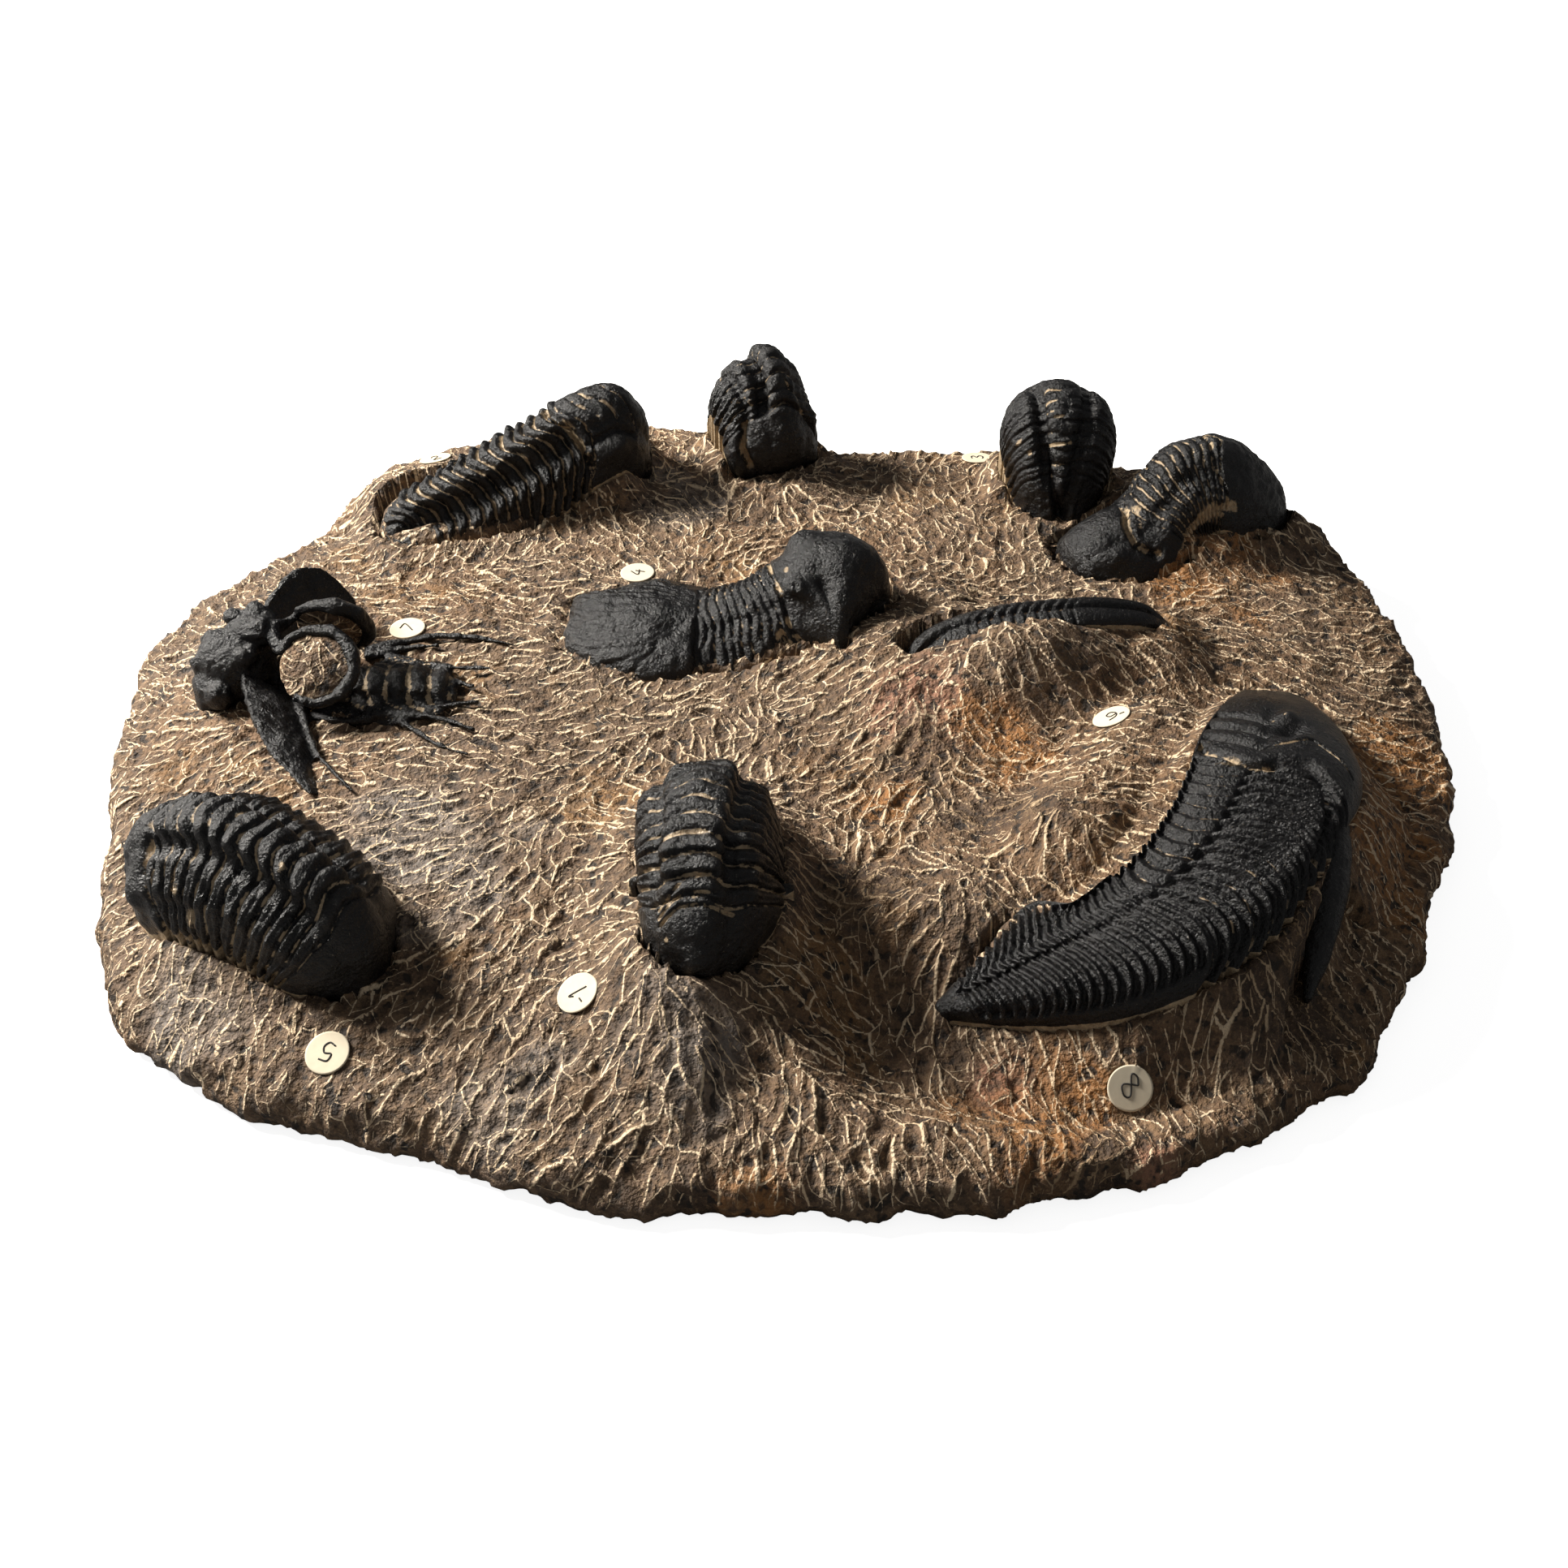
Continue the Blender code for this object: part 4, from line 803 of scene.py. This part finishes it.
def mesh_of_rings(name, rings, values):
    """Closed mesh through rings of points, which carries a value for each point"""
    count, size = rings.shape[:2]
    index = np.arange(count * size).reshape(count, size)
    after = np.roll(index, -1, axis=1)
    quads = np.stack([index[:-1], after[:-1], after[1:], index[1:]], -1).reshape(-1, 4)
    mesh = bpy.data.meshes.new(name)
    mesh.from_pydata((rings.reshape(-1, 3) * MM).tolist(), [], quads.tolist())
    shape = bmesh.new()
    shape.from_mesh(mesh)
    layer = shape.verts.layers.float.new("stone_left")
    shape.verts.ensure_lookup_table()
    for v, value in zip(shape.verts, values.ravel()):
        v[layer] = value
    bmesh.ops.remove_doubles(shape, verts=shape.verts, dist=0.00001)
    bmesh.ops.holes_fill(shape, edges=[e for e in shape.edges if e.is_boundary])
    bmesh.ops.recalc_face_normals(shape, faces=shape.faces)
    shape.to_mesh(mesh)
    shape.free()
    return mesh


def black_calcite():
    """Fossil shell turned to black calcite: satin, finely pitted, with cream stone left in the furrows"""
    material, tree, shader = start_material("black calcite", 0.42)
    place = tree.nodes.new("ShaderNodeTexCoord").outputs["Object"]
    cloud, grain, patch, speck = [
        add(tree, "TexNoise", {},
            {"Vector": place, "Scale": 1 / (size * MM), "Detail": 4.0, "Roughness": 0.6}).outputs[0]
        for size in (7, 1.0, 3.2, 0.55)]
    left = add(tree, "Attribute", {"attribute_name": "stone_left"}, {}).outputs["Fac"]
    share = add(tree, "MapRange", {}, {"Value": patch, "From Min": 0.41, "From Max": 0.59})
    share = add(tree, "Math", {"operation": "MULTIPLY"}, {0: left, 1: share})
    sure = add(tree, "Math", {"operation": "SUBTRACT"}, {0: left, 1: 1.0})
    share = add(tree, "Math", {"operation": "MAXIMUM"}, {0: share, 1: sure})
    share = add(tree, "Math", {"operation": "MULTIPLY_ADD"}, {0: grain, 1: 0.4, 2: share})
    stone = add(tree, "MapRange", {}, {"Value": share, "From Min": 0.42, "From Max": 0.72, "To Max": 0.95})
    tint = hex_colour("#070708")
    for pattern, low, high, most, colour in (
            (cloud, 0.35, 0.70, 1.0, "#131213"), (grain, 0.58, 0.75, 0.4, "#34312e"),
            (speck, 0.64, 0.74, 0.55, "#857d70")):
        share = add(tree, "MapRange", {},
                    {"Value": pattern, "From Min": low, "From Max": high, "To Max": most})
        tint = add(tree, "Mix", {"data_type": "RGBA"}, {"Factor": share, "A": tint, "B": hex_colour(colour)})
    tan = add(tree, "Mix", {"data_type": "RGBA"},
              {"Factor": grain, "A": hex_colour("#5e4a36"), "B": hex_colour("#dec6a2")})
    tint = add(tree, "Mix", {"data_type": "RGBA"}, {"Factor": stone, "A": tint, "B": tan})
    tree.links.new(tint.outputs[2], shader.inputs["Base Color"])
    gloss = add(tree, "MapRange", {}, {"Value": cloud, "From Min": 0.3, "From Max": 0.7, "To Min": 0.22,
                                       "To Max": 0.42})
    tree.links.new(gloss.outputs[0], shader.inputs["Roughness"])
    shader.inputs["Specular IOR Level"].default_value = 0.38
    raise_surface(tree, shader, 0.75, cloud, ((grain, 0.8), (speck, 0.4)))
    return material


def skirted(surface, left, base):
    """Rows of a shell with the points of its foot on the stone added at both ends"""
    rows, values = [surface], [left]
    for side in (0, -1):
        edge, foot = surface[:, side].copy(), surface[:, side].copy()
        edge[:, 2] -= EDGE_DROP
        foot[:, 2] = base
        pair, full = np.stack([foot, edge], 1), np.full((len(edge), 2), 2.0)
        rows = [pair] + rows if side == 0 else rows + [pair[:, ::-1]]
        values = [full] + values if side == 0 else values + [full]
    return np.concatenate(rows, 1), np.concatenate(values, 1)


calcite = black_calcite()
for name, s in TRILOBITES.items():
    rows, columns = MESHES.get(name, USUAL_MESH)
    surface, along, across = carapace(s, np.linspace(0, 1, rows), np.linspace(-1, 1, columns))
    rings, values = skirted(*dressed(s, surface, along, across), s["base"])
    caps = np.zeros((END_RINGS, values.shape[1]))
    mesh = mesh_of_rings(name, domed_ends(rings), np.concatenate([caps, values, caps]))
    new_piece(name + "_shell", mesh, [calcite], [name])

# Horned trilobite
# A spiny one whose lumpy head carries a forked horn. The fork's two arms coil round discs of stone, thin
# blades stand out from its cheeks, and its ribs end in spines that lie along the ground.
HEAD_LUMPS = (  # middle and radii of each
    ((-117, 0, 23.5), (9, 8, 10)), ((-113, 7, 27.5), (6.5, 6, 6)), ((-120, -3, 20), (6.5, 6, 8)),
    ((-118, 8, 31.5), (2.4, 2.2, 2.2)), ((-113.5, 9, 32.5), (2.6, 2.4, 2.2)),
    ((-123.5, 6, 27), (2.2, 2, 2)), ((-123, -2, 26), (3.2, 3, 3)), ((-119, -8, 22), (3.6, 3, 3.6)),
    ((-113, -4, 29.5), (3, 2.6, 2.6)), ((-110, 3, 31), (3.5, 3, 2.8)))
HORN = ((-116, 2, 30, 4.4), (-111, 1, 32.5, 3.8), (-108, 0.5, 33, 3.0))  # middle and radius, up to the fork
NEAR_COIL = ((-97.5, -7.5, 29), 8.4, -50)  # middle, radius, and tilt of its plane from upright in degrees
FAR_COIL = ((-96.5, 5.5, 30.5), 8.2, 20)
SPINES = (  # places in plan along each
    ((-92, 11), (-84.5, 15), (-77.5, 16.6), (-68, 16), (-59, 13.5)),
    ((-92, 9), (-84, 12), (-76, 13)),
    ((-87, 9.6), (-80.5, 7.5), (-74, 4.7), (-63, 3.5)),
    ((-84, 5), (-76, 3), (-70, -0.5), (-66, -3)),
    ((-90, -8), (-82, -10), (-74, -9.5), (-64, -8.4)),
    ((-100, -10.5), (-91, -13), (-82, -13), (-71.6, -21), (-64, -25.5)),
    ((-86, -12.5), (-77, -12.5), (-70, -14.5), (-64, -17.5)),
    ((-105, -4), (-101, -12), (-96.5, -22), (-91.5, -30), (-86, -36)),
)
NEAR_BLADE = (((-114.5, -5, 26.5), (-112, -13, 26), (-108, -21.5, 24.5), (-102.5, -29.5, 22),
               (-94.5, -37.5, 19.5)),
              ((-101.5, -7), (-99, -14), (-97, -21), (-95.5, -28.5), (-92.5, -36.5)))
FAR_BLADE = (((-113, 8, 31), (-111, 16, 33), (-108, 22.5, 34), (-103.5, 26, 33), (-99.5, 26, 29.5),
              (-96, 25, 25)),
             ((-108, 8), (-106, 12.5), (-103, 16), (-100.5, 19), (-98, 21), (-95, 23)))
BLADE_ROOT, BLADE_TIP, BLADE_HOLLOW = 1.8, 1.0, 1.5  # thickness at both ends, and how far a blade is curved
SPINE_LIFT, SPINE_ROOT, SPINE_THINS = 1.0, 1.35, 0.8  # height over the stone, radius, and loss of it
VOXEL = 0.4  # width of the cells in which skins are fused


def loft(shape, rings):
    """Add a closed skin through rings of points to a shape"""
    rows = [[shape.verts.new(p * MM) for p in ring] for ring in rings]
    faces = [shape.faces.new((a[k - 1], a[k], b[k], b[k - 1])) for a, b in zip(rows, rows[1:])
             for k in range(len(a))]
    faces += [shape.faces.new(rows[0]), shape.faces.new(rows[-1])]
    bmesh.ops.recalc_face_normals(shape, faces=faces)


def tube(shape, points, sides=14):
    """Add a round rod through points, each with its radius"""
    line = through(points, np.linspace(0, 1, 10 * len(points)))
    ways = unit(np.gradient(line[:, :3], axis=0))
    side = np.array(Vector(ways[0]).orthogonal().normalized())
    rings = []
    for (x, y, z, r), way in zip(line, ways):
        side = side - way * (side @ way)
        side /= np.linalg.norm(side)
        other = np.cross(way, side)
        turn = np.arange(sides)[:, None] * 2 * math.pi / sides
        rings.append(np.array((x, y, z)) + r * (np.cos(turn) * side + np.sin(turn) * other))
    loft(shape, rings)


def on_stone(places, lift):
    """Points over places in plan, at a lift over the stone"""
    return [(x, y, slab_tree.ray_cast(Vector((x, y, 100)) * MM, Vector((0, 0, -1)))[0].z / MM + lift)
            for x, y in places]


def blade(shape, free_edge, foot, root, tip, hollow):
    """Add a thin curved plate between a free edge and its foot on the stone"""
    shares = np.linspace(0, 1, 60)
    top, low = through(free_edge, shares), through(on_stone(foot, -0.5), shares)
    drop = np.linspace(0, 1, 10)[None, :, None]
    face = top[:, None] * (1 - drop) + low[:, None] * drop
    across = unit(np.cross(np.gradient(face, axis=0), np.gradient(face, axis=1)))
    face += hollow * np.sin(np.pi * shares)[:, None, None] * np.sin(np.pi * drop) * across
    half = 0.5 * (root + (tip - root) * shares)[:, None, None] * across
    loft(shape, np.concatenate([face + half, (face - half)[:, ::-1]], 1))


def ellipsoid(shape, middle, radii):
    """Add an upright ellipsoid to a shape"""
    place = Matrix.Translation(Vector(middle) * MM) @ Matrix.Diagonal((*(Vector(radii) * MM), 1))
    bmesh.ops.create_uvsphere(shape, u_segments=32, v_segments=20, radius=1, matrix=place)


def coil_points(middle, radius, tilt):
    """Points of a C-shaped coil that leaves the horn and turns back under itself, with its radius"""
    tilt = math.radians(tilt)
    points = [(*HORN[-1][:3], 2.2)]
    for share in np.linspace(0, 1, 12):
        angle = math.radians(155 - 280 * share)
        size = radius * (1 - 0.12 * share)
        height = size * math.sin(angle)
        points.append((middle[0] + size * math.cos(angle), middle[1] - height * math.sin(tilt),
                       middle[2] + height * math.cos(tilt), 1.3 + 0.6 * math.sin(math.pi * share)))
    return points


def mesh_of(name, shape):
    """Mesh of a finished shape"""
    mesh = bpy.data.meshes.new(name)
    shape.to_mesh(mesh)
    shape.free()
    return mesh


def fused(name, shape, voxel):
    """One closed mesh round all the skins of a shape"""
    holder = link_object(name, mesh_of(name, shape))
    remesh = holder.modifiers.new("fuse", "REMESH")
    remesh.mode = "VOXEL"
    remesh.voxel_size = voxel * MM
    done = bpy.data.meshes.new_from_object(holder.evaluated_get(bpy.context.evaluated_depsgraph_get()))
    bpy.data.objects.remove(holder)
    return done


def roughen(mesh, sizes):
    """Push a mesh in along its normals by noise, given as sizes and depths in millimetres"""
    points = points_of(mesh)
    normals = np.zeros(points.size)
    mesh.vertex_normals.foreach_get("vector", normals)
    depth = sum(deep * (0.3 + noise(points, size, 50 + k)) for k, (size, deep) in enumerate(sizes))
    points -= depth[:, None] * normals.reshape(-1, 3)
    mesh.vertices.foreach_set("co", (points * MM).ravel())
    mesh.update()


slab_tree = BVHTree.FromObject(slab, bpy.context.evaluated_depsgraph_get())
surface, along, across = carapace(HORNED, np.linspace(0, 1, 160), np.linspace(-1, 1, 60))
shape = bmesh.new()
horned_surface, horned_left = dressed(HORNED, surface, along, across)
loft(shape, skirted(horned_surface, horned_left, HORNED["base"])[0])
for middle, radii in HEAD_LUMPS:
    ellipsoid(shape, middle, radii)
tube(shape, HORN)
for coil in (NEAR_COIL, FAR_COIL):
    tube(shape, coil_points(*coil))
for spine in SPINES:
    line = on_stone(spine, SPINE_LIFT)
    tube(shape, [(*point, SPINE_ROOT - SPINE_THINS * k / (len(line) - 1)) for k, point in enumerate(line)])
for (free_edge, foot), hollow in ((NEAR_BLADE, BLADE_HOLLOW), (FAR_BLADE, -BLADE_HOLLOW)):
    blade(shape, free_edge, foot, BLADE_ROOT, BLADE_TIP, hollow)
horned_mesh = fused("horned_trilobite_shell", shape, VOXEL)
roughen(horned_mesh, ((5, 0.35), (2.4, 0.28), (1.2, 0.18)))
nearest = search_tree(horned_surface.reshape(-1, 3))

# Stone is left on the parts of the fused skin that lie close to the ribbed body
_, found, away = zip(*[nearest.find(point) for point in points_of(horned_mesh)])
left = horned_left.ravel()[list(found)] * smooth(2.2 - np.array(away))
horned_mesh.attributes.new("stone_left", "FLOAT", "POINT").data.foreach_set("value", left)
new_piece("horned_trilobite_shell", horned_mesh, [calcite], ["horned_trilobite"])

# Stone left in the coils
# Matrix was left inside both coils as a disc on a foot, scratched like the slab, which holds the fragile
# horn. Each disc ends a little within the middle line of its coil.
WITHIN, HALF_THICK = 0.5, 1.9
for name, ((x, y, z), radius, tilt) in (("near_coil_stone", NEAR_COIL), ("far_coil_stone", FAR_COIL)):
    turn = Matrix.Rotation(math.radians(tilt), 4, "X")
    shape = bmesh.new()
    flat_disc = Matrix.Diagonal(((radius - WITHIN) * MM, HALF_THICK * MM, (radius - WITHIN) * MM, 1))
    bmesh.ops.create_uvsphere(shape, u_segments=64, v_segments=40, radius=1,
                              matrix=Matrix.Translation(Vector((x, y, z)) * MM) @ turn @ flat_disc)
    ellipsoid(shape, (x - 1, y + 1, z - 7), (4.5, 3.0, 5.0))
    coil_mesh = fused(name, shape, 0.5)
    roughen(coil_mesh, ((3, 0.3), (1.3, 0.2)))
    local = points_of(coil_mesh) - (x, y, z)
    plan = np.stack([local[:, 0], local[:, 2] / math.cos(math.radians(tilt))], -1) * 1.4 + (x, y)
    mark_strokes(coil_mesh, plan, layers)
    new_piece(name, coil_mesh, [limestone], [])

# Cheek spine of the large trilobite
# The broad spine of its right cheek runs back along the stone, clear of the ribs.
shape = bmesh.new()
tube(shape, CHEEK_SPINE, 20)
blade(shape, [point[:3] for point in CHEEK_SPINE], [point[:2] for point in CHEEK_SPINE],
      root=6.0, tip=1.0, hollow=0)
cheek_mesh = fused("large_dalmanitid_cheek_spine", shape, VOXEL)
roughen(cheek_mesh, ((4, 0.2), (1.4, 0.12)))
new_piece("large_dalmanitid_cheek_spine", cheek_mesh, [calcite], ["large_dalmanitid"])

# Paper discs
# Cream paper labels of 8 mm, stuck to the stone and numbered by hand with a black pen.
DISC_THICK, PEN = 0.25, 0.17  # thickness of the paper and radius of a pen line
DISC_LIFT, DISC_CLEAR, DISC_BEND = 0.4, 0.12, 0.5  # height over the stone: mean, least, and most bend of it
STROKES = {  # pen strokes of each numeral
    "1": (((-0.4, 1.0), (0.2, 1.6), (0.0, -1.6)),),
    "-": (((-2.4, 0.0), (-1.4, 0.2)),),
    "2": (((-0.9, 0.9), (-0.3, 1.6), (0.7, 1.2), (0.6, 0.3), (-1.0, -1.5), (1.1, -1.4)),),
    "3": (((-0.8, 1.4), (0.5, 1.5), (0.8, 0.8), (-0.1, 0.1), (1.0, -0.5), (0.5, -1.5), (-0.9, -1.3)),),
    "4": (((0.2, 1.6), (-1.0, -0.3), (1.1, -0.2)), ((0.6, 0.6), (0.4, -1.6))),
    "5": (((1.0, 1.6), (-0.6, 1.5), (-0.8, 0.2), (0.5, 0.3), (1.0, -0.7), (0.3, -1.6), (-0.9, -1.3)),),
    "6": (((0.8, 1.6), (-0.6, 0.6), (-0.9, -0.8), (0.1, -1.6), (1.0, -0.8), (0.4, 0.1), (-0.8, -0.4)),),
    "7": (((-1.0, 1.4), (1.0, 1.5), (-0.2, -1.6)),),
    "8": (((0.9, 1.1), (0.0, 1.6), (-0.8, 1.0), (0.9, -0.7), (0.2, -1.6), (-0.9, -0.9), (0.9, 1.1)),),
}
# What is written on each disc, and its direction in degrees
NUMBERS = (("5", 160), ("1-", 110), ("-6", 180), ("8", -50), ("3", 90), ("7", 60), ("4", 80), ("2", 30))


def cream_paper():
    """Uncoated cream paper, slightly mottled, which scatters light evenly"""
    material, tree, shader = start_material("cream paper", 0.85)
    place = tree.nodes.new("ShaderNodeTexCoord").outputs["Object"]
    mottle = add(tree, "TexNoise", {}, {"Vector": place, "Scale": 1 / (1.5 * MM), "Detail": 5.0})
    tint = add(tree, "Mix", {"data_type": "RGBA"},
               {"Factor": mottle.outputs[0], "A": hex_colour("#c9bda5"), "B": hex_colour("#ddd1b9")})
    tree.links.new(tint.outputs[2], shader.inputs["Base Color"])
    return material


def pen_ink():
    """Black drawing ink, soaked into the paper and so nearly without gloss"""
    material, _, shader = start_material("black ink", 0.7)
    shader.inputs["Base Color"].default_value = hex_colour("#1c1a19")
    return material


paper, ink = cream_paper(), pen_ink()
for number, ((x, y), (written, angle)) in enumerate(zip(DISCS, NUMBERS), 1):
    turn = np.arange(40) * 2 * math.pi / 40
    spots = np.array([(x + r * math.cos(a), y + r * math.sin(a)) for r in (0, 1.5, 3, 4) for a in turn])
    slope = np.column_stack([spots - (x, y), np.ones(len(spots))])
    level = np.linalg.lstsq(slope, np.array(on_stone(spots, 0))[:, 2], rcond=None)[0]
    up = np.array((-level[0], -level[1], 1)) / math.sqrt(level[0]**2 + level[1]**2 + 1)
    side = np.cross((0, 1, 0), up)
    side /= np.linalg.norm(side)
    rims = [r * (np.cos(turn)[:, None] * side + np.sin(turn)[:, None] * np.cross(up, side))
            for r in (0.0, 1.0, 2.0, 3.0, 3.7, 4.0)]
    sheet = np.array((x, y, level[2])) + DISC_LIFT * up + np.stack(rims)
    resting = np.array(on_stone(sheet.reshape(-1, 3)[:, :2], DISC_CLEAR))[:, 2].reshape(sheet.shape[:2])
    sheet[..., 2] = np.maximum(sheet[..., 2], np.minimum(resting, sheet[..., 2] + DISC_BEND))
    below = sheet[::-1].copy()
    below[..., 2] -= DISC_THICK
    shape = bmesh.new()
    loft(shape, np.concatenate([sheet, below]))
    bmesh.ops.remove_doubles(shape, verts=shape.verts, dist=0.00001)
    plain = len(shape.faces)
    disc_tree = BVHTree.FromBMesh(shape)
    way = complex(math.cos(math.radians(angle)), math.sin(math.radians(angle)))
    for digit in written:
        for stroke in STROKES[digit]:
            places = [complex(*point) * way for point in stroke]
            starts = [Vector((x + p.real, y + p.imag, 100)) * MM for p in places]
            line = [disc_tree.ray_cast(start, Vector((0, 0, -1)))[0] / MM for start in starts]
            tube(shape, [(*point, PEN) for point in line], 6)
    shape.faces.ensure_lookup_table()
    for face in shape.faces[plain:]:
        face.material_index = 1
    name = f"paper_disc_{number}"
    new_piece(name, mesh_of(name, shape), [paper, ink], [f"number_disc_{number}"])

# Floor, light and camera
# A plain pale floor, one soft lamp at the left and a little behind the slab, and a dim sky that the camera
# sees as white. The camera looks down at 39 degrees from in front.
CAMERA_DOWN = math.radians(39)
CAMERA_AWAY = 383.5
CAMERA_AIM = (0.5, -10.3, 0.0)
FOCAL_PIXELS, FRAME_PIXELS, SENSOR = 2161.0, 1932.0, 36.0  # focal length and picture in pixels, sensor in mm
LAMP_WAY, LAMP_AWAY, LAMP_WIDTH = (0.86, -0.32, -0.69), 950.0, 270.0  # its direction, distance and width
LAMP_POWER = 26.0
FLOOR_RADIUS, FLOOR_GAP = 6000.0, 0.2  # of the floor, and how far it lies under the slab

floor_shape = bmesh.new()
bmesh.ops.create_circle(floor_shape, cap_ends=True, cap_tris=True, segments=96, radius=FLOOR_RADIUS * MM)
floor = link_object("pale_floor", mesh_of("pale_floor", floor_shape))
floor.location.z = -FLOOR_GAP * MM
card, card_tree, card_shader = start_material("white card", 0.9)
watched = card_tree.nodes.new("ShaderNodeLightPath").outputs["Is Camera Ray"]
card_tone = add(card_tree, "Mix", {"data_type": "RGBA"},
                {"Factor": watched, "A": hex_colour("#808080"), "B": hex_colour("#f2f2f2")})
card_glow = add(card_tree, "MapRange", {}, {"Value": watched, "To Max": 0.85})
card_tree.links.new(card_tone.outputs[2], card_shader.inputs["Base Color"])
card_tree.links.new(card_glow.outputs[0], card_shader.inputs["Emission Strength"])
card_shader.inputs["Emission Color"].default_value = (1, 1, 1, 1)
card_shader.inputs["Specular IOR Level"].default_value = 0.1
floor.data.materials.append(card)

lamp = bpy.data.lights.new("soft_lamp", "AREA")
lamp.shape = "DISK"
lamp.size = LAMP_WIDTH * MM
lamp.energy = LAMP_POWER
lamp.color = hex_colour("#fffaf2")[:3]
lamp_object = link_object("soft_lamp", lamp)
toward = Vector(LAMP_WAY).normalized()
lamp_object.location = -LAMP_AWAY * MM * toward
lamp_object.rotation_euler = toward.to_track_quat("-Z", "Y").to_euler()
lamp_object.visible_camera = False

sky = bpy.data.worlds.new("dim_sky")
sky.use_nodes = True
seen = sky.node_tree.nodes.new("ShaderNodeLightPath").outputs["Is Camera Ray"]
shade = add(sky.node_tree, "MapRange", {}, {"Value": seen, "To Min": 0.17, "To Max": 1.0})
sky.node_tree.links.new(shade.outputs[0], sky.node_tree.nodes["Background"].inputs["Strength"])
sky.node_tree.nodes["Background"].inputs["Color"].default_value = (1, 1, 1, 1)
bpy.context.scene.world = sky

camera = bpy.data.cameras.new("camera")
camera.sensor_width = SENSOR
camera.lens = SENSOR * FOCAL_PIXELS / FRAME_PIXELS
camera.clip_start = 0.01
camera_object = link_object("camera", camera)
back = Vector((0, -math.cos(CAMERA_DOWN), math.sin(CAMERA_DOWN)))
camera_object.location = (Vector(CAMERA_AIM) + CAMERA_AWAY * back) * MM
camera_object.rotation_euler = (-back).to_track_quat("-Z", "Y").to_euler()
bpy.context.scene.camera = camera_object
bpy.context.scene.view_settings.view_transform = "Standard"
